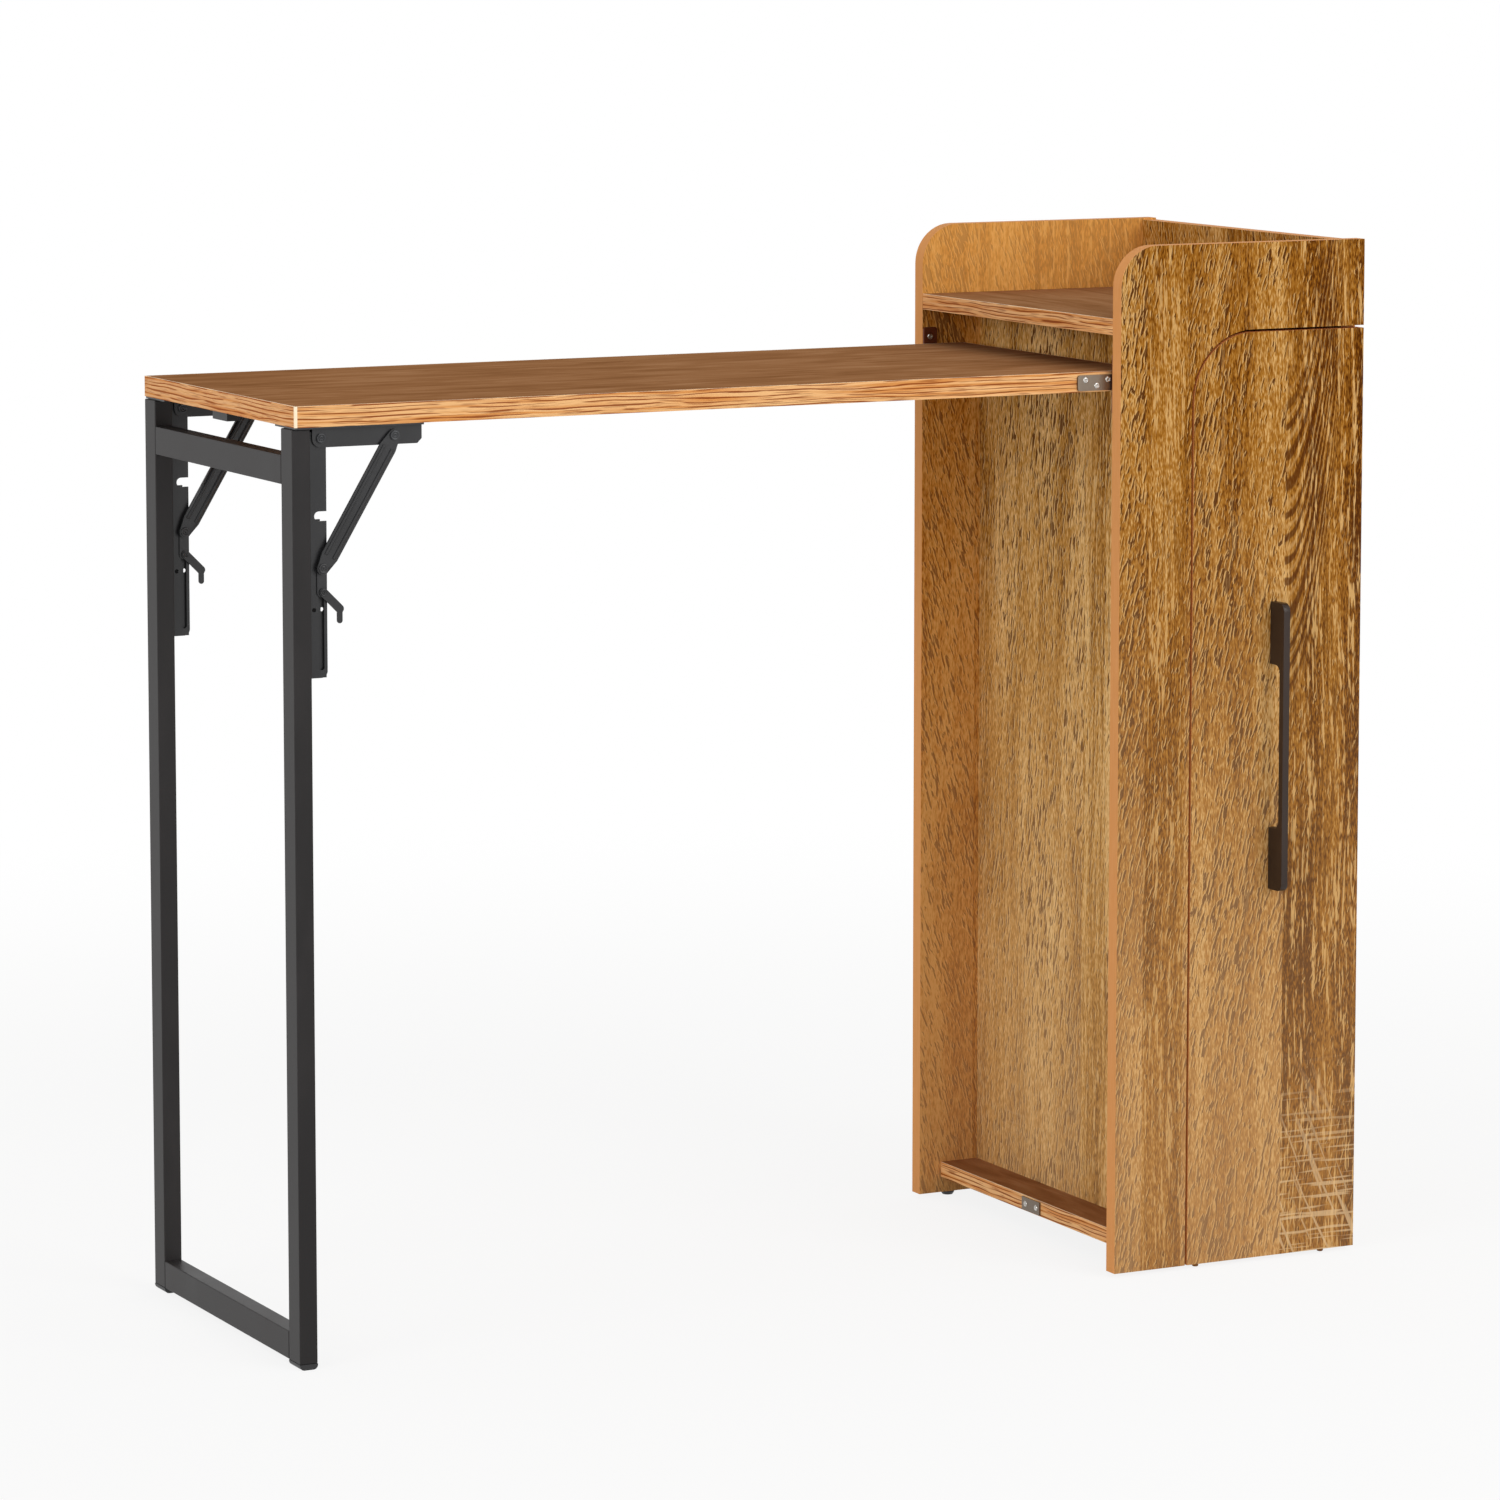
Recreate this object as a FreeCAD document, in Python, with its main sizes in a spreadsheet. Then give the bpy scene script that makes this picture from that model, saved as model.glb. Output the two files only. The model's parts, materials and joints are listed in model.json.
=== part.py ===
import FreeCAD, Part
import os
import re
import Sketcher

"""Folding bar table: a slim cabinet with a pull-out trolley, and a top on a folding leg frame.

X runs along the top towards the cabinet, Y away from the trolley's handle, Z up.
The origin is on the floor, in the middle of the object's outline. All sizes are millimetres.
"""

# Driving sizes, each written once
SIZES = {
    # Cabinet boards
    "panel_thickness": 18,
    "cabinet_height": 1136,
    "cabinet_depth": 310,
    "inner_width": 430,
    "floor_gap": 5,
    "corner_round": 45,
    "recess_depth": 76,
    "partition_thickness": 14,
    "tray_depth": 79,
    "strip_width": 90,
    "band_lap": 2,
    "arch_round": 77,
    "back_drop": 2,
    "rail_top": 41,
    "rail_setback": 28,
    "edge_band": 1.5,
    "dowel_radius": 4,
    "dowel_length": 30,
    "dowel_seat": 10,
    "dowel_margin": 60,
    "dowel_fit": 0.05,
    "glide_radius": 8,
    "glide_foot": 6,
    "glide_taper": 3,
    "glide_margin": 42,
    "glide_inset": 14,
    # Screws and rivets
    "screw_radius": 1.6,
    "screw_length": 14,
    "screw_head": 3.4,
    "screw_head_height": 1.6,
    "screw_fit": 0.05,
    "rivet_radius": 2,
    "rivet_head": 3.5,
    "rivet_head_height": 1,
    "rivet_tail": 1.5,
    # Table top
    "shelf_clearance": 39,
    "top_thickness": 22,
    "side_gap": 6,
    "stow_gap": 22,
    "top_tail": 50,
    # Side hinges of the top
    "pivot_setback": 9,
    "pivot_drop": 14,
    "pin_radius": 4,
    "pin_seat": 10,
    "pin_reach": 24,
    "running_fit": 0.05,
    "plate_gauge": 2.5,
    "plate_round": 3,
    "wall_plate_width": 17,
    "wall_plate_height": 65,
    "wall_screw_offset": 21.7,
    "edge_plate_front": 50,
    "edge_plate_rear": 11,
    "edge_plate_height": 17,
    "edge_plate_lift": 1.6,
    "edge_screw_first": 12,
    "edge_screw_step": 14,
    "edge_screw_stagger": 3.2,
    # Catch that holds the folded top
    "catch_width": 40,
    "catch_height": 15,
    "catch_gauge": 2,
    "catch_screw_spread": 12,
    "catch_play": 0.3,
    # Leg frame
    "post_depth": 20,
    "post_width": 30,
    "post_inset": 4,
    "post_proud": 1.7,
    "post_gap": 0.4,
    "tube_wall": 1.5,
    "bar_height": 30,
    "upper_bar_drop": 30,
    "lower_bar_lift": 6,
    "foot_height": 6,
    "foot_round": 5,
    "plug_length": 25,
    "plug_fit": 0.1,
    # Folding brackets
    "fold_offset": 13,
    "brace_base": 80,
    "lock_drop": 133,
    "sheet_gauge": 2,
    "flange_gauge": 2,
    "flange_width": 8,
    "flange_tab": 26,
    "flange_margin": 1,
    "mount_half": 10,
    "mount_back": 9.5,
    "mount_reach": 112,
    "mount_chamfer": 5,
    "mount_screw_margin": 16,
    "leg_plate_half": 9.7,
    "leg_plate_front": 6.5,
    "leg_plate_tail": 11,
    "leg_plate_round": 7,
    "notch_half": 5,
    "notch_depth": 7,
    "sight_radius": 2.2,
    "sight_drop": 176,
    "sight_inset": 8,
    "sight_offset": 2,
    "guide_back": 3.5,
    "guide_front": 6.2,
    "guide_end": 4.5,
    "pivot_pin_radius": 3,
    "pivot_pin_head": 5,
    "pivot_pin_head_height": 1.8,
    "slot_fit": 0.1,
    "brace_half": 9.5,
    "brace_eye": 6.5,
    "brace_taper": 14,
    "brace_gauge": 2,
    "brace_play": 0.1,
    "brace_clearance": 0.5,
    "brace_rib": 1.8,
    "brace_rib_offset": 5,
    "brace_rib_margin": 14,
    "stud_gap": 0.05,
    "stud_head": 5,
    "stud_head_height": 1.2,
    # Slide carriages and release levers
    "carriage_gauge": 1.5,
    "carriage_half": 5,
    "lever_pin_x": 1.5,
    "lever_pin_drop": 25,
    "lever_pin_radius": 2,
    "lever_pin_head": 3.5,
    "lever_gauge": 1.5,
    "lever_play": 0.1,
    "lever_arm": 25,
    "lever_arm_half": 4.5,
    "lever_hook": 12,
    "lever_hook_half": 3,
    # Trolley
    "reveal": 3,
    "bay_gap": 4,
    "bay_seat": 0.3,
    "rear_gap": 8,
    "trolley_board": 16,
    "base_underside": 44,
    "tier_step": 300,
    "rear_room": 159,
    "guard_radius": 5,
    "guard_lift": 80,
    "guard_inset": 9,
    "handle_reach": 28,
    "handle_thickness": 8,
    "handle_height": 320,
    "handle_foot": 69,
    "handle_grip": 8,
    "handle_round": 9,
    "handle_bottom": 420,
    "handle_inset": 193,
    "handle_screw_bite": 12,
    # Buttons under the trolley's front, and rollers
    "button_radius": 3.5,
    "button_height": 3.5,
    "button_left": 16,
    "button_right": 38,
    "roller_radius": 16,
    "roller_half": 7,
    "roller_round": 3,
    "roller_margin": 30,
    "roller_setback": 28,
    "axle_radius": 3,
    "cheek_gauge": 1.5,
    "cheek_half": 8,
    "cheek_gap": 0.5,
    "cheek_below_axle": 6,
    "roller_plate_half": 15,
}

# Places and sizes that follow from the driving sizes
DERIVED = {
    "fold_drop": "brace_half + brace_clearance + flange_gauge",
    "shelf_top": "cabinet_height - tray_depth",
    "shelf_under": "shelf_top - panel_thickness",
    "band_bottom": "shelf_under + band_lap",
    "top_height": "shelf_under - shelf_clearance",
    "top_width": "inner_width - 2 * side_gap",
    "pivot_z": "top_height - pivot_drop",
    "top_reach": "pivot_z - pivot_setback - stow_gap",
    "overall_length": "top_reach + post_proud + cabinet_depth",
    "front_x": "overall_length / 2 - cabinet_depth",
    "back_x": "front_x + cabinet_depth",
    "back_in": "back_x - panel_thickness",
    "mid_y": "handle_reach / 2",
    "inner_near": "mid_y - inner_width / 2",
    "inner_far": "mid_y + inner_width / 2",
    "near_face": "inner_near - panel_thickness",
    "panel_height": "cabinet_height - floor_gap",
    "partition_x": "front_x + recess_depth",
    "partition_mid": "partition_x + partition_thickness / 2",
    "bay_x": "partition_x + partition_thickness",
    "rail_x": "front_x + rail_setback",
    "rail_under": "rail_top - panel_thickness",
    "top_under": "top_height - top_thickness",
    "top_near": "mid_y - top_width / 2",
    "top_far": "mid_y + top_width / 2",
    "top_end": "front_x - top_reach",
    "top_length": "top_reach + top_tail",
    "pivot_x": "front_x + pivot_setback",
    "pin_length": "side_gap + pin_seat + pin_reach",
    "edge_plate_z": "top_under + edge_plate_lift",
    "catch_z": "rail_top - panel_thickness / 2",
    "strike_x": "pivot_x - (pivot_z - catch_z)",
    "strike_gauge": "rail_setback - catch_gauge - catch_play - (pivot_setback - pivot_drop + top_thickness)",
    "leg_end": "top_end - post_proud",
    "post_in": "leg_end + post_depth",
    "post_top": "top_under - flange_gauge - post_gap",
    "near_axis": "top_near + post_inset + post_width / 2",
    "far_axis": "top_far - post_inset - post_width / 2",
    "bar_start": "near_axis + post_width / 2",
    "bar_length": "far_axis - near_axis - post_width",
    "fold_x": "post_in + fold_offset",
    "fold_z": "top_under - fold_drop",
    "brace_x": "fold_x + brace_base",
    "lock_z": "fold_z - lock_drop",
    "brace_length": "sqrt(brace_base ^ 2 + lock_drop ^ 2)",
    "slide_travel": "brace_base + brace_length - lock_drop",
    "slot_half": "pivot_pin_radius + slot_fit",
    "leg_plate_bottom": "lock_z - slide_travel - leg_plate_tail",
    "leg_plate_length": "fold_z + leg_plate_front - leg_plate_bottom",
    "leg_plate_width": "fold_offset + leg_plate_front",
    "mount_length": "mount_back + mount_reach",
    "carriage_y": "leg_plate_half + stud_gap + carriage_gauge",
    "lever_y": "carriage_y + lever_play + lever_gauge",
    "guide_room": "stud_gap + stud_head_height + lever_play",
    "guide_length": "slide_travel + leg_plate_tail + stud_head + guide_end + 2 * lever_play",
    "brace_back": "lever_y + lever_play + rivet_head_height + brace_play",
    "brace_face": "brace_back + brace_gauge",
    "lever_x": "fold_x + lever_pin_x",
    "lever_z": "lock_z - lever_pin_drop",
    "trolley_x": "bay_x + bay_gap",
    "trolley_width": "back_in - bay_x - 2 * bay_gap",
    "trolley_near": "inner_near - bay_seat",
    "trolley_far": "inner_far - rear_gap",
    "tier_depth": "trolley_far - trolley_board - trolley_near",
    "base_top": "base_underside + trolley_board",
    "rear_top": "shelf_under - rear_room",
    "handle_x": "front_x + handle_inset",
}

ALIASES = set(SIZES) | set(DERIVED)
SIDES = ("near", "far")
DOC = FreeCAD.newDocument("folding_bar_table")
NODES = []


def make_sheet():
    """Writes every size to the sheet, one row each, with its alias."""
    sheet = DOC.addObject("Spreadsheet::Sheet", "sizes")
    rows = {alias: str(size) for alias, size in SIZES.items()}
    rows.update({alias: "=" + formula for alias, formula in DERIVED.items()})
    for row, (alias, text) in enumerate(rows.items(), start=1):
        sheet.set(f"A{row}", alias)
        sheet.set(f"B{row}", text)
        sheet.setAlias(f"B{row}", alias)
    DOC.recompute()
    return sheet


SHEET = make_sheet()


def named(text):
    """An expression with the sheet's name before each alias."""
    return re.sub(r"[a-z_]+", lambda word: f"sizes.{word[0]}" if word[0] in ALIASES else word[0], str(text))


def value(text):
    """The number that an expression gives now."""
    return float(SHEET.evalExpression(named(text)))


def bind(obj, **sizes):
    """Ties an object's properties to expressions of the sheet."""
    for name, text in sizes.items():
        obj.setExpression(name, named(text))


def move(obj, corner):
    """Ties an object's place to three expressions."""
    for axis, text in zip("xyz", corner):
        obj.setExpression(f"Placement.Base.{axis}", named(text))


def keep(obj, label):
    """Names a finished sub-part, which is then written to its own file."""
    obj.Label = label
    NODES.append(obj)
    return obj


def box(name, size, corner):
    """A square block from its lowest corner."""
    obj = DOC.addObject("Part::Box", name)
    bind(obj, Length=size[0], Width=size[1], Height=size[2])
    move(obj, corner)
    return obj


def rod(name, axis, radius, length, start):
    """A round bar along X, Y or Z from its start."""
    obj = DOC.addObject("Part::Cylinder", name)
    along = {"x": (1, 0, 0), "y": (0, 1, 0), "z": (0, 0, 1)}[axis]
    turn = FreeCAD.Rotation(FreeCAD.Vector(0, 0, 1), FreeCAD.Vector(*along))
    obj.Placement = FreeCAD.Placement(FreeCAD.Vector(), turn)
    bind(obj, Radius=radius, Height=length)
    move(obj, start)
    return obj


def fuse(name, parts):
    """One solid from parts that meet."""
    obj = DOC.addObject("Part::MultiFuse", name)
    obj.Shapes = parts
    obj.Refine = True
    return obj


def cut(name, base, tools):
    """The base less every tool."""
    obj = DOC.addObject("Part::Cut", name)
    obj.Base = base
    obj.Tool = tools[0] if len(tools) == 1 else fuse(name + "_tools", tools)
    return obj


def group(name, parts):
    """Like pieces kept together as separate solids."""
    obj = DOC.addObject("Part::Compound", name)
    obj.Links = parts
    return obj


def plate(name, plane, outline, depth, corner, rounds=()):
    """A board or sheet: an outline on a plane, padded towards +X or +Y, with rounded corners.

    rounds lists (radius, corner of the outline) pairs.
    """
    body = DOC.addObject("PartDesign::Body", name)
    sketch = body.newObject("Sketcher::SketchObject", name + "_outline")
    support = next(face for face in body.Origin.OriginFeatures if face.Role == plane)
    sketch.AttachmentSupport = (support, [""])
    sketch.MapMode = "FlatFace"
    points = [FreeCAD.Vector(value(x), value(y), 0) for x, y in outline]
    following = points[1:] + points[:1]
    sketch.addGeometry([Part.LineSegment(a, b) for a, b in zip(points, following)], False)
    for k, (x, y) in enumerate(outline):
        sketch.addConstraint(Sketcher.Constraint("Coincident", k, 2, (k + 1) % len(outline), 1))
        tie_point(sketch, k, "DistanceX", x, -2)
        tie_point(sketch, k, "DistanceY", y, -1)
    pad = body.newObject("PartDesign::Pad", name + "_pad")
    pad.Profile = sketch
    pad.Reversed = plane == "XZ_Plane"
    bind(pad, Length=depth)
    for number, (radius, spot) in enumerate(rounds):
        round_corner(body, f"{name}_round_{number}", plane, radius, spot)
    move(body, corner)
    return body


def tie_point(sketch, line, kind, text, axis):
    """Holds a line's first point on an axis, or at a distance from it."""
    if text == "0":
        sketch.addConstraint(Sketcher.Constraint("PointOnObject", line, 1, axis))
        return
    index = sketch.addConstraint(Sketcher.Constraint(kind, line, 1, value(text)))
    sketch.setExpression(f"Constraints[{index}]", named(text))


def round_corner(body, name, plane, radius, spot):
    """Rounds the edge of a padded outline that stands on one of its corners."""
    DOC.recompute()
    wanted = [value(text) for text in spot]
    across = {"XZ_Plane": ("x", "z"), "YZ_Plane": ("y", "z")}[plane]
    base = body.Tip
    names = [
        f"Edge{number}"
        for number, edge in enumerate(base.Shape.Edges, start=1)
        if all(
            abs(getattr(vertex.Point, axis) - place) < 1e-5
            for vertex in edge.Vertexes
            for axis, place in zip(across, wanted)
        )
    ]
    fillet = body.newObject("PartDesign::Fillet", name)
    fillet.Base = (base, names)
    bind(fillet, Radius=radius)


def shifted(place, axis, step):
    """A place moved along one axis by the end of an expression."""
    return [text + step if name == axis else text for name, text in zip("xyz", place)]


def fastener(name, axis, sign, seat, radius, length, head, head_height):
    """A screw or rivet whose head stands on a seat, and the bore that its shank needs."""
    shank_start = seat if sign > 0 else shifted(seat, axis, f" - ({length})")
    head_start = shifted(seat, axis, f" - ({head_height})") if sign > 0 else seat
    shank = rod(name + "_shank", axis, radius, length, shank_start)
    top = rod(name + "_head", axis, head, head_height, head_start)
    bore = rod(name + "_bore", axis, f"{radius} + screw_fit", length, shank_start)
    return fuse(name, [shank, top]), bore


def screw(name, axis, sign, face, length="screw_length"):
    """A wood screw sunk level with a face, and the stepped bore that it needs."""
    seat = shifted(face, axis, f" + ({sign}) * screw_head_height")
    solid, bore = fastener(name, axis, sign, seat, "screw_radius", length, "screw_head",
                           "screw_head_height")
    sink = rod(name + "_sink", axis, "screw_head + screw_fit", "screw_head_height",
               face if sign > 0 else seat)
    return solid, fuse(name + "_stepped_bore", [bore, sink])


def tube(name, axis, size, corner):
    """A square steel tube, open at both ends."""
    number = "xyz".index(axis)
    inside = [text if k == number else f"{text} - 2 * tube_wall" for k, text in enumerate(size)]
    start = [text if k == number else f"{text} + tube_wall" for k, text in enumerate(corner)]
    return cut(name, box(name + "_outside", size, corner), [box(name + "_inside", inside, start)])


def make_dowels():
    """The dowels that join the boards to the side panels, and the bores of each board."""
    shelf_z = "shelf_top - panel_thickness / 2"
    back_x = "back_x - panel_thickness / 2"
    heights = ("rail_top + dowel_margin", "(rail_top + shelf_under) / 2", "shelf_under - dowel_margin")
    spots = [("shelf", "front_x + dowel_margin", shelf_z), ("shelf", "back_in - dowel_margin", shelf_z)]
    spots += [("partition", "partition_mid", height) for height in heights]
    spots += [("rail", "(rail_x + partition_x) / 2", "catch_z")]
    lists = {
        "near": spots + [("back", back_x, "(band_bottom + cabinet_height) / 2")],
        "far": spots + [("back", back_x, height) for height in heights],
    }
    starts = {"near": "inner_near - dowel_seat", "far": "inner_far + dowel_seat - dowel_length"}
    dowels = []
    bores = {board: [] for board in ("shelf", "partition", "rail", "back", "near", "far")}
    for side in SIDES:
        for number, (board, x, z) in enumerate(lists[side]):
            name = f"{side}_dowel_{number}"
            start = (x, starts[side], z)
            dowels.append(rod(name, "y", "dowel_radius", "dowel_length", start))
            bore = rod(name + "_bore", "y", "dowel_radius + dowel_fit", "dowel_length", start)
            bores[board].append(bore)
            bores[side].append(bore)
    keep(group("dowels", dowels), "panel_dowels")
    return bores


def make_hinge_hardware():
    """Wall plates, pins and screws of the top's two side hinges, and the bores in the side panels."""
    plates, pins, screws = [], [], []
    bores = {}
    wall_y = {"near": "inner_near", "far": "inner_far"}
    plate_y = {"near": "inner_near", "far": "inner_far - plate_gauge"}
    pin_y = {"near": "inner_near - pin_seat", "far": "top_far - pin_reach"}
    for side, sign in zip(SIDES, (-1, 1)):
        start = ("pivot_x", pin_y[side], "pivot_z")
        pins.append(rod(f"{side}_pin", "y", "pin_radius", "pin_length", start))
        bores[side] = [rod(f"{side}_pin_bore", "y", "pin_radius + running_fit", "pin_length", start)]
        face_y = f"{wall_y[side]} - ({sign}) * plate_gauge"
        for end, step in (("upper", "+"), ("lower", "-")):
            seat = ("pivot_x", face_y, f"pivot_z {step} wall_screw_offset")
            solid, bore = screw(f"{side}_{end}_wall_screw", "y", sign, seat)
            screws.append(solid)
            bores[side].append(bore)
        corners = [("0", "0"), ("wall_plate_width", "0"), ("wall_plate_width", "wall_plate_height"),
                   ("0", "wall_plate_height")]
        blank = plate(f"{side}_wall_blank", "XZ_Plane", corners, "plate_gauge",
                      ("pivot_x - wall_plate_width / 2", plate_y[side], "pivot_z - wall_plate_height / 2"),
                      [("plate_round", corner) for corner in corners])
        plates.append(cut(f"{side}_wall_plate", blank, bores[side]))
    keep(group("wall_plates", plates), "hinge_wall_plates")
    keep(group("wall_screws", screws), "hinge_wall_screws")
    keep(group("pins", pins), "hinge_pins")
    return bores


def make_cabinet(hinge_bores):
    """The cabinet's boards, joined by dowels, with its glides and the catch on the rail."""
    bores = make_dowels()
    top_corner = ("0", "panel_height")
    band = "band_bottom - floor_gap"
    far_outline = [("0", "0"), ("cabinet_depth", "0"), ("cabinet_depth", "panel_height"), top_corner]
    near_outline = [("0", "0"), ("strip_width", "0"), ("strip_width", band), ("cabinet_depth", band),
                    ("cabinet_depth", "panel_height"), top_corner]
    near_rounds = [("corner_round", top_corner), ("arch_round", ("strip_width", band))]
    far_board = plate("far_board", "XZ_Plane", far_outline, "panel_thickness",
                      ("front_x", "inner_far", "floor_gap"), [("corner_round", top_corner)])
    near_board = plate("near_board", "XZ_Plane", near_outline, "panel_thickness",
                       ("front_x", "near_face", "floor_gap"), near_rounds)
    keep(cut("far_panel", far_board, bores["far"] + hinge_bores["far"]), "far_side_panel")
    keep(cut("near_panel", near_board, bores["near"] + hinge_bores["near"]), "near_side_panel")
    partition = box("partition_board", ("partition_thickness", "inner_width", "shelf_under - rail_under"),
                    ("partition_x", "inner_near", "rail_under"))
    keep(cut("partition", partition, bores["partition"]), "partition_panel")
    back = box("back_board", ("panel_thickness", "inner_width", "panel_height - back_drop"),
               ("back_in", "inner_near", "floor_gap"))
    keep(cut("back", back, bores["back"]), "back_panel")
    shelf = box("shelf_board", ("back_in - front_x - edge_band", "inner_width", "panel_thickness"),
                ("front_x + edge_band", "inner_near", "shelf_under"))
    keep(cut("shelf", shelf, bores["shelf"]), "top_shelf")
    keep(box("shelf_band", ("edge_band", "inner_width", "panel_thickness"),
             ("front_x", "inner_near", "shelf_under")), "shelf_edge_band")
    catch_bores = make_catch()
    rail = box("rail_board", ("recess_depth - rail_setback - edge_band", "inner_width", "panel_thickness"),
               ("rail_x + edge_band", "inner_near", "rail_under"))
    keep(cut("rail", rail, bores["rail"] + catch_bores), "bottom_rail")
    rail_band = box("rail_band_strip", ("edge_band", "inner_width", "panel_thickness"),
                    ("rail_x", "inner_near", "rail_under"))
    keep(cut("rail_band", rail_band, catch_bores), "rail_edge_band")
    make_glides()


def make_catch():
    """The steel plate on the rail's front edge that the top's magnet meets, with its two screws."""
    screws, bores = [], []
    for number, step in enumerate("-+"):
        seat = ("rail_x - catch_gauge", f"mid_y {step} catch_screw_spread", "catch_z")
        solid, bore = screw(f"catch_screw_{number}", "x", 1, seat)
        screws.append(solid)
        bores.append(bore)
    blank = box("catch_blank", ("catch_gauge", "catch_width", "catch_height"),
                ("rail_x - catch_gauge", "mid_y - catch_width / 2", "catch_z - catch_height / 2"))
    keep(cut("catch", blank, bores), "catch_plate")
    keep(group("catch_fixings", screws), "catch_plate_screws")
    return bores


def make_glides():
    """Four plastic glides that carry the cabinet, three under its boards and one under the rail."""
    spots = [
        ("(rail_x + partition_x) / 2", "inner_near + glide_inset", "rail_under"),
        ("front_x + glide_margin", "inner_far + panel_thickness / 2", "floor_gap"),
        ("back_in - glide_margin", "inner_far + panel_thickness / 2", "floor_gap"),
        ("back_x - panel_thickness / 2", "inner_near + glide_margin", "floor_gap"),
    ]
    glides = []
    for number, (x, y, seat) in enumerate(spots):
        stem = rod(f"glide_stem_{number}", "z", "glide_radius", f"{seat} - glide_taper",
                   (x, y, "glide_taper"))
        foot = DOC.addObject("Part::Cone", f"glide_foot_{number}")
        bind(foot, Radius1="glide_foot", Radius2="glide_radius", Height="glide_taper")
        move(foot, (x, y, "0"))
        glides.append(fuse(f"glide_{number}", [stem, foot]))
    keep(group("glides", glides), "cabinet_glides")


def make_top(hinge_bores, mount_bores):
    """The table top's board with its edge band, the hinge plates on its edges and the magnet below."""
    plates, screws, bores = [], [], []
    edge_y = {"near": "top_near", "far": "top_far"}
    plate_y = {"near": "top_near - plate_gauge", "far": "top_far"}
    length = "edge_plate_front + edge_plate_rear"
    outline = [("0", "0"), (length, "0"), (length, "edge_plate_height"), ("0", "edge_plate_height")]
    for side, sign in zip(SIDES, (1, -1)):
        side_bores = [hinge_bores[side][0]]
        for number, step in enumerate("+-+"):
            x = f"pivot_x - edge_screw_first - {number} * edge_screw_step"
            z = f"edge_plate_z + edge_plate_height / 2 {step} edge_screw_stagger"
            seat = (x, f"{edge_y[side]} - ({sign}) * plate_gauge", z)
            solid, bore = screw(f"{side}_edge_screw_{number}", "y", sign, seat)
            screws.append(solid)
            side_bores.append(bore)
        blank = plate(f"{side}_edge_blank", "XZ_Plane", outline, "plate_gauge",
                      ("pivot_x - edge_plate_front", plate_y[side], "edge_plate_z"),
                      [("plate_round", corner) for corner in outline])
        plates.append(cut(f"{side}_edge_plate", blank, side_bores))
        bores += side_bores
    core_size = ("top_length - 2 * edge_band", "top_width - 2 * edge_band", "top_thickness")
    core_corner = ("top_end + edge_band", "top_near + edge_band", "top_under")
    core = box("top_core", core_size, core_corner)
    keep(cut("top_board", core, bores + mount_bores), "table_top")
    outside = box("top_outside", ("top_length", "top_width", "top_thickness"),
                  ("top_end", "top_near", "top_under"))
    inside = box("top_inside", core_size, core_corner)
    keep(cut("top_band", outside, [inside] + bores), "table_edge_band")
    keep(group("edge_plates", plates), "hinge_edge_plates")
    keep(group("edge_screws", screws), "hinge_edge_screws")
    strike_corner = ("strike_x - catch_height / 2", "mid_y - catch_width / 2", "top_under - strike_gauge")
    keep(box("strike", ("catch_height", "catch_width", "strike_gauge"), strike_corner), "catch_magnet")


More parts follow.
